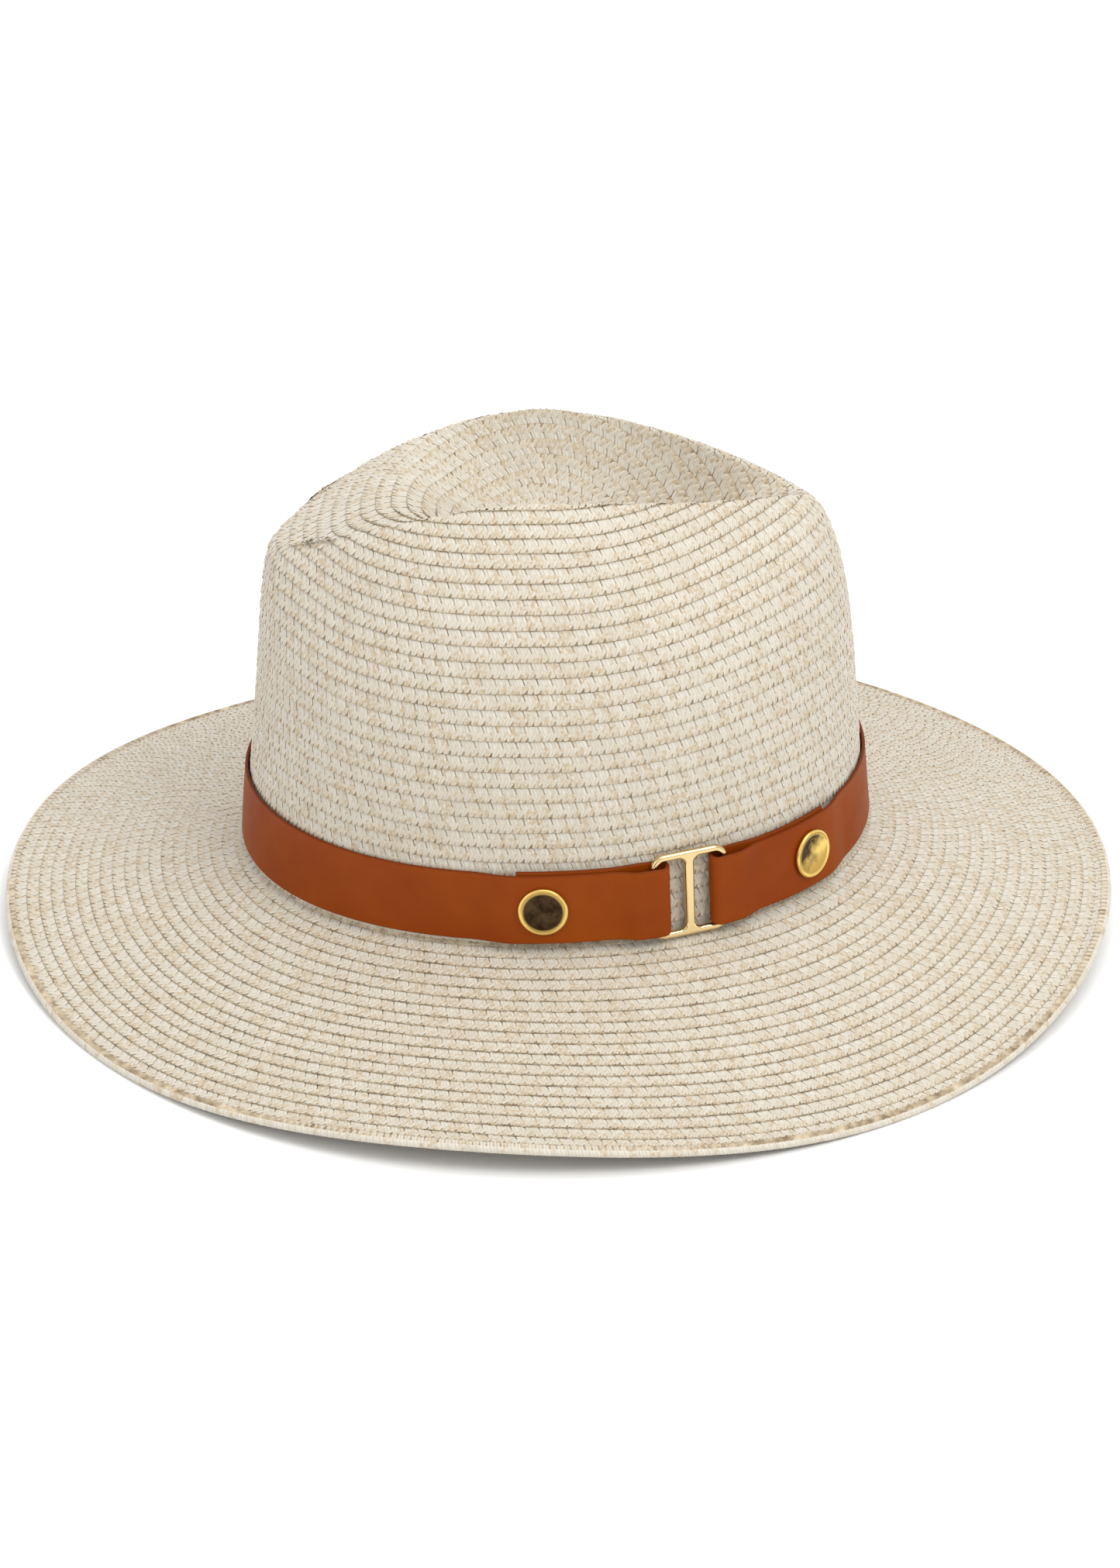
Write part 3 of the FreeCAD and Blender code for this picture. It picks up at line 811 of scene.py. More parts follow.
@dataclass
class Laying:
    """Lays strands in turns and rows, and bends them onto a surface."""
    surface: Object      # its UV map is turns and rows over scale
    scale: float
    top_lift: float                # mm, of a row's upper edge, under the row above
    low_lift: float                # mm, of its lower edge, over the row below
    core_thickness: float = 0.40
    unevenness: float = 0.14
    seed: int = 7

    @staticmethod
    def sockets(tree: NodeTree) -> None:
        """Gives the tree its named inputs and its output."""
        kinds = {"Geometry": "Geometry", "Surface": "Object", "Width": "Float",
                 "Thickness": "Float", "Slant": "Float", "Unevenness": "Float",
                 "Seed": "Int", "Material": "Material"}
        for name, kind in kinds.items():
            tree.interface.new_socket(name=name, in_out="INPUT", socket_type=f"NodeSocket{kind}")
        tree.interface.new_socket(name="Geometry", in_out="OUTPUT",
                                  socket_type="NodeSocketGeometry")

    @staticmethod
    def flat_strand(w: Wiring, given: object, strand: Strand) -> NodeSocket:
        """One strand, drawn flat: x along the row in mm, y across it in rows, z up in mm."""
        sheet = w.node("GeometryNodeMeshGrid", {"Size X": 1.0, "Size Y": 1.0,
                       "Vertices X": strand.across, "Vertices Y": strand.along}).outputs
        named = w.stored(sheet[0], "strand", sheet[1], "FLOAT_VECTOR", "POINT")
        gx, gy, _ = w.split(w.node("GeometryNodeInputPosition").outputs[0])
        t = gy + 0.5
        narrow = w.math("SQRT", 1.0 - w.math("POWER", t, 4.0) * strand.round_end)
        x = gx * given["Width"] * narrow + gy * given["Slant"]
        y = w.lerp(strand.start, strand.end, t)
        bead = (1.0 - w.math("POWER", gx * 2.0, 2.0)) * given["Thickness"]
        z = bead + t * (1.0 - t) * (4 * strand.arch) + strand.lift
        return w.moved(named, w.combine(x, y, z))

    def bent(self, w: Wiring, loose: object, surface: object, face: Face) -> NodeSocket:
        """Strands moved from turns, rows and millimetres of height onto the surface."""
        turn, row, height = w.split(w.node("GeometryNodeInputPosition").outputs[0])
        share = row - w.named("lower") + 1.0
        if face is Face.INSIDE:
            height = w.math("MULTIPLY_ADD", height, -1.0, -self.core_thickness)
        height = height + w.lerp(self.top_lift, self.low_lift, share)
        row = w.math("MINIMUM", w.math("MAXIMUM", row, 0.002), self.scale - 0.01)
        uv = w.combine(turn, row / self.scale, 0.0)
        shape = w.node("GeometryNodeObjectInfo", {"Object": surface}).outputs["Geometry"]
        uv_map = w.named("UVMap", "FLOAT_VECTOR")
        spot, normal = (
            w.node("GeometryNodeSampleUVSurface",
                   {"Mesh": shape, "Sample UV": uv, "Value": w.node(kind).outputs[0], 2: uv_map},
                   data_type="FLOAT_VECTOR").outputs[0]
            for kind in ("GeometryNodeInputPosition", "GeometryNodeInputNormal"))
        rise = w.vector("SCALE", {"Vector": normal, "Scale": height * MM})
        return w.moved(loose, w.vector("ADD", {0: spot, 1: rise}))

    def tree(self, strand: Strand, face: Face) -> NodeTree:
        """Lays a strand at every point and bends it onto the surface.

        Args:
            strand: the strand's shape.
            face: the side of the strip that it lies on.
        Returns:
            The node tree.
        """
        tree = bpy.data.node_groups.new("lay_strands", "GeometryNodeTree")
        self.sockets(tree)
        w = Wiring(tree)
        given = w.node("NodeGroupInput").outputs
        shaped = self.flat_strand(w, given, strand)
        uneven = w.random(-1, 1, given["Seed"]) * given["Unevenness"]
        grow = w.combine(1.0 + uneven * 0.5, 1.0, 1.0 + uneven * 2.0)
        scale = w.vector("MULTIPLY", {0: w.named("stretch", "FLOAT_VECTOR"), 1: grow})
        kept = w.node("GeometryNodeInstanceOnPoints", {
            "Points": given["Geometry"], "Instance": shaped, "Scale": scale}).outputs[0]
        for k, name in enumerate(("shade", "knot"), 1):
            seed = w.math("ADD", given["Seed"], float(k))
            kept = w.stored(kept, name, w.random(0, 1, seed), "FLOAT", "INSTANCE")
        loose = w.node("GeometryNodeRealizeInstances", {0: kept}).outputs[0]
        bent = self.bent(w, loose, given["Surface"], face)
        if face is Face.INSIDE:
            bent = w.node("GeometryNodeFlipFaces", {0: bent}).outputs[0]
        soft = w.node("GeometryNodeSetShadeSmooth", {"Geometry": bent}).outputs[0]
        feeds = {"Geometry": soft, "Material": given["Material"]}
        done = w.node("GeometryNodeSetMaterial", feeds).outputs[0]
        w.node("NodeGroupOutput", {0: done})
        return tree

    def lay(self, name: str, strand: Strand, places: tuple, material: Material,
            face: Face = Face.OUTSIDE) -> Object:
        """Strands at some places as one plain mesh.

        Args:
            name: the piece's name.
            strand: the strands' shape.
            places: points in turns and rows, each one's stretch, and its row's lower edge.
            material: their finish.
            face: the side of the strip that they lie on.
        Returns:
            The piece.
        """
        points, stretch, lower = places
        made = mesh_of(name, points, [])
        attributes = made.data.attributes
        attributes.new("stretch", "FLOAT_VECTOR", "POINT").data.foreach_set(
            "vector", stretch.ravel())
        attributes.new("lower", "FLOAT", "POINT").data.foreach_set("value", lower)
        modifier = made.modifiers.new("Strands", "NODES")
        modifier.node_group = self.tree(strand, face)
        sizes = {"Surface": self.surface, "Width": strand.width, "Thickness": strand.thickness,
                 "Slant": strand.slant, "Unevenness": self.unevenness, "Seed": self.seed,
                 "Material": material}
        for socket in modifier.node_group.interface.items_tree:
            if socket.in_out == "INPUT" and socket.name in sizes:
                modifier[socket.identifier] = sizes[socket.name]
        evaluated(made, modifier)
        return made


@dataclass
class Plait:
    """The spiral strip of braid that makes the crown and the brim."""
    rows: RowMap
    straw: Material
    loops: Material
    painted_shade_core: Material
    stitch: float = 2.15           # mm between strands
    pairing: float = 0.1           # mm that strands lean together in pairs
    top_lift: float = -0.80
    low_lift: float = -0.30
    spiral_start: float = 1.0
    tip_row: float = 20.0
    wall_row: float = 30.0
    brim_splits: tuple = (7, 13.5)  # rows out from the headline
    least_tall: float = 0.05       # share of a row, where the spiral ends

    def surface(self) -> Object:
        """The hat's outside as a mesh whose UV map is turns and rows."""
        rows = self.rows
        turn, row = np.meshgrid(rows.turns, rows.rows, indexing="ij")
        faces = grid_faces(len(rows.turns), len(rows.rows), flip=True)
        return mesh_of("hat_rows", rows.grid, faces, np.stack([turn, row / self.scale], -1))

    @property
    def scale(self) -> float:
        """Rows to one unit of the surface's UV map."""
        return float(self.rows.last_row + 1)

    def places(self, first: float, last: float, offset: float) -> tuple:
        """Where the strands of some rows go.

        Args:
            first: the spiral's turn at which these rows start.
            last: and where they end.
            offset: of a stitch, to set one kind of strand between another's.
        Returns:
            Points in turns and rows, each one's stretch, and its row's lower edge.
        """
        spiral, per_turn = self.rows.stitches(self.stitch, self.spiral_start)
        lean = np.where(np.arange(len(spiral)) % 2 == 0, self.pairing, -self.pairing)
        spiral = spiral + (offset * self.stitch + lean) / per_turn
        end = self.rows.last_row
        lower = np.minimum(spiral, end)
        tall = np.clip(end + 1 - spiral, self.least_tall, 1.0)
        keep = (spiral >= first) & (spiral < last)
        points = np.stack([spiral % 1.0, lower, np.zeros_like(spiral)], -1)[keep]
        stretch = np.stack([1 / per_turn, tall, np.ones_like(spiral)], -1)[keep]
        return points, stretch, lower[keep]

    def ribbon(self, name: str, first: float, last: float, thickness: float) -> Object:
        """The strip itself, under its strands: a thin closed ribbon along some rows."""
        spiral, _ = self.rows.stitches(2 * self.stitch, self.spiral_start)
        spiral = np.append(spiral[(spiral >= first) & (spiral < last)], last - 1e-6)
        end = self.rows.last_row
        shares = np.array([-1.08, -0.75, -0.4, 0.0, 0.045, 0.0, -0.4, -0.75, -1.08])
        under = np.array([0, 0, 0, -0.2, 0.3, 1, 1, 1, 0.9])
        lower = np.minimum(spiral, end)[:, None]
        tall = np.clip(end + 1 - spiral, self.least_tall, 1.0)[:, None]
        row = np.maximum(lower + shares * tall, 0.0)
        turn = np.repeat((spiral % 1.0)[:, None], len(shares), 1)
        height = mix(self.top_lift, self.low_lift, 1 + shares) - under * thickness
        points = self.rows.lifted(turn, row, np.broadcast_to(height, row.shape))
        faces = grid_faces(len(spiral), len(shares), wrap_columns=True, flip=True)
        last_ring = (len(spiral) - 1) * len(shares)
        faces += [tuple(range(len(shares))),
                  tuple(range(last_ring + len(shares) - 1, last_ring - 1, -1))]
        # its finish is painted shade, where it shows between strands and at each row's lower edge
        return mesh_of(name, points, faces, material=self.painted_shade_core)

    def button(self) -> Object:
        """The small coiled start of the strip at the top of the crown, as a shallow dome."""
        rings, around, reach = 6, 48, 1.3
        turn, share = np.meshgrid(np.arange(around) / around, np.linspace(0.02, 1, rings),
                                  indexing="ij")
        height = self.low_lift + 0.35 * np.abs(np.sin(share * 2 * math.pi)) - 0.5 * share
        points = self.rows.lifted(turn, share * reach, height)
        faces = grid_faces(around, rings, wrap_rows=True, flip=True)
        faces.append(tuple(i * rings for i in range(around)))
        return mesh_of("crown_button", points, faces, material=self.straw)

    def build(self) -> list:
        """All the rows, in pieces by the part of the hat that they make.

        Returns:
            Pairs of a piece and the node that it stands for.
        """
        surface = self.surface()
        laying = Laying(surface, self.scale, self.top_lift, self.low_lift)
        headline = float(self.rows.crown_rows)
        middle, outer = (headline + rows for rows in self.brim_splits)
        stretches = (("crown_tip", self.spiral_start, self.tip_row, "crown_tip"),
                     ("crown_side_upper", self.tip_row, self.wall_row, "crown_side"),
                     ("crown_side_lower", self.wall_row, headline, "crown_side"),
                     ("brim_inner", headline, middle, "brim"),
                     ("brim_middle", middle, outer, "brim"),
                     ("brim_outer", outer, self.scale, "brim"))
        made = [(self.button(), "crown_tip")]
        for name, first, last, node in stretches:
            own, between = self.places(first, last, 0.0), self.places(first, last, 0.5)
            strip = self.ribbon(f"{name}_strip", first, last, laying.core_thickness)
            made += [(strip, node),
                     (laying.lay(f"{name}_strands", UPPER, own, self.straw), node),
                     (laying.lay(f"{name}_loops", LOOP, between, self.loops), node),
                     (laying.lay(f"{name}_inside", INNER, own, self.straw, Face.INSIDE), node)]
        bpy.data.objects.remove(surface)
        return made


@dataclass
class EdgeRow:
    """The narrow last row of braid, turned round the wire in the brim's edge."""
    form: HatForm
    standing: Standing
    straw: Material
    painted_shade_core: Material
    stitch: float = 2.15
    columns: int = 360
    overhang: int = 12             # columns past each side of the first turn
    leg_bulge: float = 1.1         # mm that the legs' middles stand off the row's middle
    lift: float = -0.14            # mm, of the strands over the row's outside
    unevenness: float = 0.05
    seed: int = 11

    def section(self, angle: Array) -> Array:
        """The row's outside at some angles, from its top leg round to its lower leg."""
        form = self.form
        radius, leg = form.edge_row_radius, form.edge_row_width - form.edge_row_radius
        out_at = np.full_like(angle, form.brim_reach - radius)
        centre = form.brim(angle, out_at)
        out = unit(centre - form.brim(angle, out_at - 5))
        flat = np.zeros_like(out) + [0.0, 0.0, 1.0]
        up = np.cross(out, unit(np.cross(flat, out)))
        half = form.braid_thickness / 2
        centre = centre - up * half
        legs = ((leg, half), (leg / 2, self.leg_bulge))
        points = [centre - out * back + up * height for back, height in legs]
        points += [centre + (out * math.cos(t) + up * math.sin(t)) * radius
                   for t in np.radians(range(90, -91, -20))]
        points += [centre - out * back - up * height for back, height in reversed(legs)]
        return np.stack(points, 1)

    def build(self) -> list:
        """The strands that wrap the edge.

        Returns:
            The piece, in a list of pairs of a piece and the node that it stands for.
        """
        turns = np.arange(-self.overhang, self.columns + self.overhang + 1) / self.columns
        grid = self.standing.points(self.section(2 * math.pi * turns))
        count = grid.shape[1]
        turn, row = np.meshgrid(turns, np.linspace(0, 1, count), indexing="ij")
        faces = grid_faces(len(turns), count, flip=True)
        surface = mesh_of("edge_rows", grid, faces, np.stack([turn, row], -1))
        middle = grid[:, count // 2]
        steps = np.linalg.norm(np.gradient(middle, axis=0), axis=-1) * self.columns / MM
        round_hat = steps[self.overhang:self.overhang + self.columns].mean()
        strands = round(round_hat / self.stitch)
        at, ones = np.arange(strands) / strands, np.ones(strands)
        points = np.stack([at, ones, np.zeros(strands)], -1)
        stretch = np.stack([1 / np.interp(at, turns, steps), ones, ones], -1)
        laying = Laying(surface, 1.0, self.lift, self.lift, unevenness=self.unevenness,
                        seed=self.seed)
        made = laying.lay("edge_row_strands", WRAP, (points, stretch, ones), self.straw)
        bpy.data.objects.remove(surface)
        # the frame's edge row under the strands takes the strip's painted-shade finish, seen
        # between the strands
        dress(frame["nodes"]["brim_edge_row"], self.painted_shade_core)
        return [(made, None)]


# --- Strap, rivets and sweatband ---

class End(Enum):
    """The strap's two ends, by the way that each lies from the buckle."""
    FRONT = -1
    REAR = 1


@dataclass
class Band:
    """The strap and the places on it: s is the distance round the crown from the buckle's
    centre, growing towards the back, and n the distance out from the crown."""
    form: HatForm
    standing: Standing
    width: float = 22.8
    thickness: float = 1.1
    gap: float = 0.45
    middle_angle: float = 115.5
    rivet_distance: float = 45.0
    flap_past_rivet: float = 8.0
    flap_rise: float = 0.8
    ply_gap: float = 0.05
    fold_slack: float = 2.5
    loop_reach: float = 3.9
    loop_taper: float = 9.5
    end_taper: float = 14.0
    buckle_width: float = 25.4
    bar_width: float = 2.2
    bar_clearance: float = 0.4
    window_play: float = 0.7
    buckle_rise: float = 0.5
    buckle_overhang: float = 0.4
    back_gap: float = 0.2
    plate_clearance: float = 0.02
    plate_thickness: float = 0.7
    edge_radius: float = 0.42
    slackness: float = 0.10        # mm of unevenness in how it lies
    slack_from: float = 70.0       # mm from the buckle
    flat_points: int = 14          # across the strap
    cap_points: int = 96           # round a cap
    cap_line: tuple = ((0.0, 1.44), (3.0, 1.425), (5.6, 1.37), (6.45, 1.31), (6.62, 1.29),
                       (6.78, 1.36), (7.0, 1.47), (7.25, 1.5), (7.5, 1.42), (7.68, 1.22),
                       (7.75, 0.9), (7.72, 0.5), (7.55, 0.2), (7.2, 0.04), (6.8, 0.0),
                       (0.0, 0.0))  # mm from the cap's axis and out from the strap

    def __post_init__(self) -> None:
        """Works out the sizes that follow, and lengths round the oval."""
        self.bar_distance = (self.buckle_width - self.bar_width) / 2
        self.fold_centre = self.bar_distance - self.fold_slack
        self.loop_end = self.bar_distance + self.loop_reach
        self.flap_end = self.rivet_distance + self.flap_past_rivet
        self.lift = (self.window_play + self.bar_width - self.buckle_rise
                     - self.buckle_overhang)
        self.flap_n = self.gap + self.thickness / 2
        self.bar_n = self.gap + self.thickness + self.bar_clearance + self.bar_width / 2
        self.loop_n = self.bar_n + self.bar_width / 2 + self.bar_clearance + self.thickness / 2
        self.fold_radius = (self.loop_n - self.flap_n) / 2
        angles = np.linspace(0, 2 * math.pi, 3601)
        steps = np.linalg.norm(np.diff(self.form.oval(angles), axis=0), axis=1)
        self.lengths = np.concatenate([[0], np.cumsum(steps)])
        self.angles = angles
        self.round_hat = self.lengths[-1]
        self.start = np.interp(math.radians(self.middle_angle), angles, self.lengths)
        plate_n = self.plate_clearance + self.bulge(np.array([-1, 1]) * self.rivet_distance).max()
        self.rivet_flap_n = (plate_n + self.plate_thickness + self.back_gap
                             + self.thickness / 2)

    def angle_at(self, s: Array) -> Array:
        """The angle round the hat at a distance from the buckle's centre."""
        return np.interp((self.start + s) % self.round_hat, self.lengths, self.angles)

    def bulge(self, s: Array) -> Array:
        """How far the wall stands out behind the strap's middle."""
        angle = self.angle_at(s)
        low, normal = self.form.wall_at(angle, self.lift)
        middle, high = (self.form.wall_at(angle, self.lift + self.width * k)[0] for k in (0.5, 1))
        return ((middle - mix(low, high, 0.5)) * normal).sum(-1)

    def flap_out(self, s: Array) -> Array:
        """How far out the middle of the folded-back ply is."""
        return mix(self.flap_n, self.rivet_flap_n,
                   smooth((abs(s) - self.loop_end) / self.loop_taper))

    def strap_out(self, s: Array) -> Array:
        """How far out the middle of the outer ply is."""
        over = self.flap_out(s) + self.thickness + self.ply_gap
        near = mix(self.loop_n, over, smooth((abs(s) - self.loop_end) / self.loop_taper))
        return mix(near, self.flap_n, smooth((abs(s) - self.flap_end - 1) / self.end_taper))

    def on_band(self, s: Array, n: Array, height: Array) -> Array:
        """Points round, out and up from the strap's lower edge, in the hatter's frame."""
        angle = self.angle_at(np.asarray(s, dtype=float))
        low, normal = self.form.wall_at(angle, self.lift)
        high = self.form.wall_at(angle, self.lift + self.width)[0]
        share = np.asarray(height)[..., None] / self.width
        return mix(low, high, share) + normal * np.asarray(n)[..., None]

    def route(self) -> tuple[Array, Array, Array]:
        """The strap's middle line end to end, as s, n and rise."""
        flap = np.linspace(self.flap_end, self.fold_centre, 60)
        turn = np.linspace(0, math.pi, 22)[1:-1]
        near = np.linspace(self.fold_centre, self.flap_end + 22, 90)
        far = np.linspace(near[-1], self.round_hat / 2, 130)[1:]
        fold_s = self.fold_centre - self.fold_radius * np.sin(turn)
        fold_n = self.bar_n - self.fold_radius * np.cos(turn)
        s = np.concatenate([flap, fold_s, near, far])
        n = np.concatenate([self.flap_out(flap), fold_n, self.strap_out(near),
                            np.full(len(far), self.flap_n)])
        rise = np.concatenate([np.full(len(flap), self.flap_rise),
                               self.flap_rise * (1 - turn / math.pi),
                               np.zeros(len(near) + len(far))])
        back = slice(-2, None, -1)
        return (np.concatenate([-s, s[back] - self.round_hat]), np.concatenate([n, n[back]]),
                np.concatenate([rise, rise[back]]))

    def section(self) -> tuple[Array, Array]:
        """Heights and outward offsets round the strap's rounded section."""
        half, r = self.thickness / 2, self.edge_radius
        flat = np.linspace(r, self.width - r, self.flat_points)
        face = np.full(self.flat_points, half)
        bend = np.radians([15, 40, 65])
        top_h, top_o = self.width - r + r * np.sin(bend), half - r + r * np.cos(bend)
        low_h, low_o = r - r * np.sin(bend), half - r + r * np.cos(bend)
        heights = np.concatenate([flat, top_h, [self.width], top_h[::-1], flat[::-1],
                                  low_h, [0.0], low_h[::-1]])
        offsets = np.concatenate([face, top_o, [0.0], -top_o[::-1],
                                  -face, -low_o, [0.0], low_o[::-1]])
        return heights, offsets

    def strap(self, leather: Material) -> Object:
        """The strap as one closed mesh with rounded edges."""
        s, n, rise = self.route()
        ds, dn = np.gradient(s), np.gradient(n)
        length = np.hypot(ds, dn)
        side_s, side_n = dn / length, -ds / length
        heights, offsets = self.section()
        station = np.cumsum(length)
        wave = np.sin(s / 17 + 1) + 0.6 * np.sin(s / 6.3)
        wave = wave * smooth((np.abs(s) - self.slack_from) / 25)
        lean = self.slackness * 0.5 * (wave[:, None] + 1) * np.sin(math.pi * heights / self.width)
        points = self.on_band(s[:, None] + side_s[:, None] * offsets,
                              n[:, None] + side_n[:, None] * offsets + lean * (offsets > 0.1),
                              heights + rise[:, None])
        along = np.repeat(station[:, None] / station[-1], len(heights), 1)
        uv = np.stack([along, np.repeat((heights / self.width)[None], len(s), 0)], -1)
        count = len(heights)
        faces = grid_faces(len(s), count, wrap_columns=True)
        end = (len(s) - 1) * count
        faces += [tuple(range(count - 1, -1, -1)), tuple(range(end, end + count))]
        return mesh_of("strap", self.standing.points(points), faces, uv, leather)

    def rivet_cap(self, end: End, finish: Material) -> Object:
        """A flat cap with a rolled rim, turned on its axis."""
        s = end.value * self.rivet_distance
        n = self.strap_out(np.array(s)) + self.thickness / 2
        middle = self.width / 2
        low, high = self.on_band(s, n, middle - 5), self.on_band(s, n, middle + 5)
        along = unit(self.on_band(s + 4, n, middle) - self.on_band(s - 4, n, middle))
        out = unit(np.cross(along, unit(high - low)))
        up = np.cross(out, along)
        line = np.array(self.cap_line)
        turns = np.linspace(0, 2 * math.pi, self.cap_points, endpoint=False)
        ring = along * np.cos(turns)[:, None] + up * np.sin(turns)[:, None]
        centre = self.on_band(s, n, middle)
        inner = line[1:-1]
        points = centre + ring[:, None] * inner[None, :, :1] + out * inner[None, :, 1:]
        count, around = len(inner), len(turns)
        points = np.concatenate([points.reshape(-1, 3), [centre + out * line[0, 1]],
                                 [centre + out * line[-1, 1]]])
        uv = np.stack([(points - centre) @ along, (points - centre) @ up], -1) / line[:, 0].max()
        faces = grid_faces(around, count, wrap_rows=True, flip=True)
        top, base = len(points) - 2, len(points) - 1
        for i in range(around):
            following = (i + 1) % around
            faces.append((top, i * count, following * count))
            faces.append((base, following * count + count - 1, i * count + count - 1))
        name = f"rivet_face_{end.name.lower()}"
        return mesh_of(name, self.standing.points(points), faces, uv, finish)

    def build(self, leather: Material, caps: dict) -> list:
        """The strap and both caps.

        Args:
            leather: the strap's finish.
            caps: each cap's finish by the strap's end.
        Returns:
            Pairs of a piece and the node that it stands for.
        """
        return [(self.strap(leather), "hat_band")] + [
            (self.rivet_cap(end, finish), f"rivet_cap_{end.name.lower()}")
            for end, finish in caps.items()]


@dataclass
class Sweatband:
    """The plain ribbon inside the headline."""
    form: HatForm
    standing: Standing
    width: float = 32.0
    thickness: float = 1.0
    gap: float = 0.25
    slack: float = 1.2
    columns: int = 300

    def build(self, ribbon: Material) -> list:
        """The ribbon as a closed ring.

        Args:
            ribbon: its finish.
        Returns:
            The piece and the node that it stands for, in a list.
        """
        heights = np.linspace(0.4, self.width - 0.4, 17)
        loop = np.concatenate([heights, [self.width], heights[::-1], [0.0]])
        depth = np.concatenate([np.full(17, 0.12), [0.5], np.full(17, 0.9), [0.5]])
        turn = np.arange(self.columns) / self.columns
        angle = 2 * math.pi * turn + math.pi
        rings = []
        for height, share in zip(loop, depth):
            wall, out = self.form.wall_at(angle, height)
            back = (self.form.braid_thickness + self.gap
                    + self.slack * (height / self.width) ** 2 + share * self.thickness)
            rings.append(wall - out * back)
        points = np.stack(rings, 1)
        faces = grid_faces(self.columns, len(loop), wrap_rows=True, wrap_columns=True)
        uv = np.stack([np.repeat(turn[:, None], len(loop), 1),
                       np.repeat((loop / self.width)[None], self.columns, 0)], -1)
        made = mesh_of("sweatband_ribbon", self.standing.points(points), faces, uv, ribbon)
        return [(made, "sweatband")]


# --- Studio ---

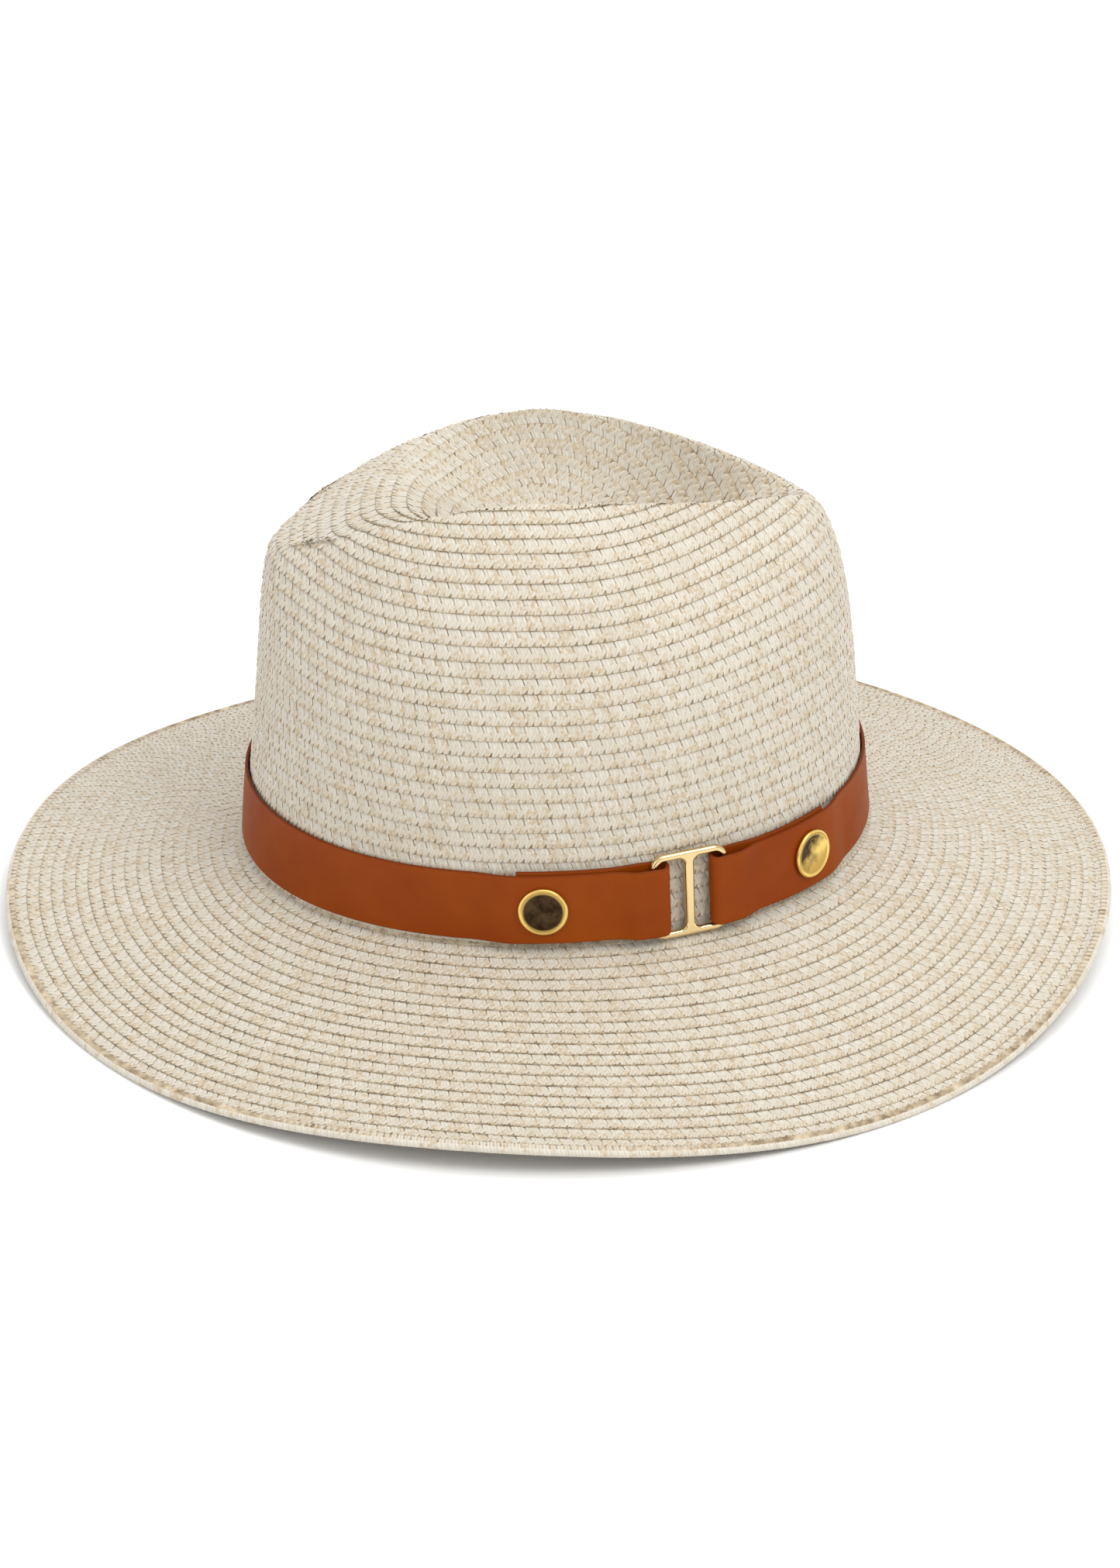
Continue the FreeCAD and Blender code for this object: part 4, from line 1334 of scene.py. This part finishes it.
@dataclass(frozen=True)
class Studio:
    """A pale floor, soft light and the camera."""
    azimuth: float = 92.8
    elevation: float = 30.3
    roll: float = -2.8
    distance: float = 1.568
    aim_below_headline: float = 0.016
    lens: float = 110.8
    shift_x: float = 0.0019
    shift_y: float = 0.043
    world: float = 0.94
    floor_half: float = 40.0
    aim: tuple = (0, 0, 0.08)      # where the lights look
    lamps: tuple = (("key", (0.9, 1.1, 1.9), 1.0, 22.0),  # place and size in m, power in W
                    ("fill", (1.3, -1.5, 1.2), 1.4, 6.0),
                    ("top", (-0.3, 0.1, 2.3), 1.6, 16.0))

    def camera(self, standing: Standing) -> None:
        """Puts the camera where it looks down on the wearer's left side."""
        a, e, r = (math.radians(v) for v in (self.azimuth, self.elevation, self.roll))
        back = np.array([math.sin(a) * math.cos(e), -math.cos(a) * math.cos(e), math.sin(e)])
        right = unit(np.cross(-back, [0.0, 0.0, 1.0]))
        up = np.cross(right, -back)
        right, up = right * math.cos(r) + up * math.sin(r), up * math.cos(r) - right * math.sin(r)
        eye = (back * self.distance - [0, 0, self.aim_below_headline]) / MM
        axes = standing.ways(np.stack([right, up, back]))
        data = bpy.data.cameras.new("camera")
        data.lens, data.sensor_width = self.lens, 36.0
        data.shift_x, data.shift_y = self.shift_x, self.shift_y
        data.clip_start, data.clip_end = 0.05, 30.0
        camera = bpy.data.objects.new("camera", data)
        camera.matrix_world = Matrix.Translation(Vector(standing.points(eye))) @ \
            Matrix([list(row) for row in axes.T]).to_4x4()
        bpy.context.collection.objects.link(camera)
        bpy.context.scene.camera = camera

    def light(self, name: str, place: tuple, size: float, power: float) -> None:
        """A square soft light that looks at the hat."""
        data = bpy.data.lights.new(name, "AREA")
        data.shape, data.size, data.energy = "SQUARE", size, power
        lamp = bpy.data.objects.new(name, data)
        way = Vector(self.aim) - Vector(place)
        lamp.rotation_mode = "QUATERNION"
        lamp.location, lamp.rotation_quaternion = place, way.to_track_quat("-Z", "Y")
        bpy.context.collection.objects.link(lamp)

    def card(self, name: str, centre: tuple, width: float, height: float,
             finish: Material) -> None:
        """An upright card that faces the hat, for polished metal to reflect."""
        centre = Vector(centre)
        way = Vector((-centre.x, -centre.y, 0)).normalized()
        side = way.cross(Vector((0, 0, 1))) * width / 2
        rise = Vector((0, 0, height / 2))
        corners = [centre - side - rise, centre + side - rise, centre + side + rise,
                   centre - side + rise]
        made = mesh_of(name, corners, [(0, 1, 2, 3)], material=finish)
        made.visible_shadow = False
        made.visible_diffuse = False

    def build(self, standing: Standing) -> None:
        """Makes the whole studio."""
        self.camera(standing)
        scene = bpy.context.scene
        scene.view_settings.view_transform = "Standard"
        world = bpy.data.worlds.new("studio")
        world.use_nodes = True
        sky = world.node_tree.nodes["Background"]
        sky.inputs["Color"].default_value = (1.0, 0.995, 0.985, 1)
        sky.inputs["Strength"].default_value = self.world
        scene.world = world
        for lamp in self.lamps:
            self.light(*lamp)
        half = self.floor_half
        corners = [(-half, -half, 0), (half, -half, 0), (half, half, 0), (-half, half, 0)]
        paper = FloorFinish("studio_floor", (0.9, 0.9, 0.9), 0.9, specular=0.1).build()
        floor = mesh_of("floor", corners, [(0, 1, 2, 3)], material=paper)
        dark = FloorFinish("dark_card", (0.012, 0.010, 0.008), 0.9, specular=0.0).build()
        self.card("card_behind_camera", (2.3, -0.1, 0.35), 1.6, 0.7, dark)


def main() -> None:
    """Builds the hat's looks in order."""
    logging.basicConfig(level=logging.INFO, format="%(name)s: %(message)s")
    standing = Standing.of(frame["record"])
    form = HatForm()
    rows = RowMap(form, standing)
    straw = PlaitFinish("plait", (0.60, 0.567, 0.497), 0.5, sheen=0.1).build()
    loops = PlaitFinish("plait_loops", (0.57, 0.523, 0.437), 0.5, sheen=0.1, flecked=0.65).build()
    # the strip's finish: a tan darker than the straw, painted shade where it shows between strands
    painted_shade_core = CoreFinish("plait_core", (0.60, 0.505, 0.36), 0.8).build()
    leather = StrapFinish("strap_leather", (0.205, 0.034, 0.0012), 0.45, coat=0.1,
                          coat_roughness=0.2, specular=0.04).build()
    gold = MetalFinish("pale_gold", (0.70, 0.53, 0.27), 0.12, metallic=1.0).build()
    # each cap gets its own painted dark reflection: nearly all of the front one's face, more at the
    # top of the rear one
    caps = {end: CapFinish(f"rivet_gold_{end.name.lower()}", (0.80, 0.56, 0.16), 0.14,
                           metallic=1.0, reflected_share=reflected_share, lean=lean).build()
            for end, reflected_share, lean in ((End.FRONT, 0.97, 0.0), (End.REAR, 0.62, 0.32))}
    wire = MetalFinish("edge_wire", (0.55, 0.55, 0.56), 0.35, metallic=1.0).build()
    ribbon = RibbonFinish("sweatband_ribbon", (0.74, 0.66, 0.52), 0.75, sheen=0.2).build()
    groups = (("hat", "braid", Plait(rows, straw, loops, painted_shade_core).build()),
              ("hat", "braid", EdgeRow(form, standing, straw, painted_shade_core).build()),
              ("hat", "sweatband", Sweatband(form, standing).build(ribbon)),
              ("band", None, Band(form, standing).build(leather, caps)))
    for body, slot, made in groups:
        for piece, node in made:
            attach(piece, body)
            if node:
                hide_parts(node)
            LOG.info("%s: %d faces", piece.name, len(piece.data.polygons))
    for node in ("slider_buckle", "rivet_post_front", "rivet_post_rear"):
        dress(frame["nodes"][node], gold)
    dress(frame["nodes"]["brim_edge_wire"], wire)
    Studio().build(standing)


if __name__ == "__main__":
    main()
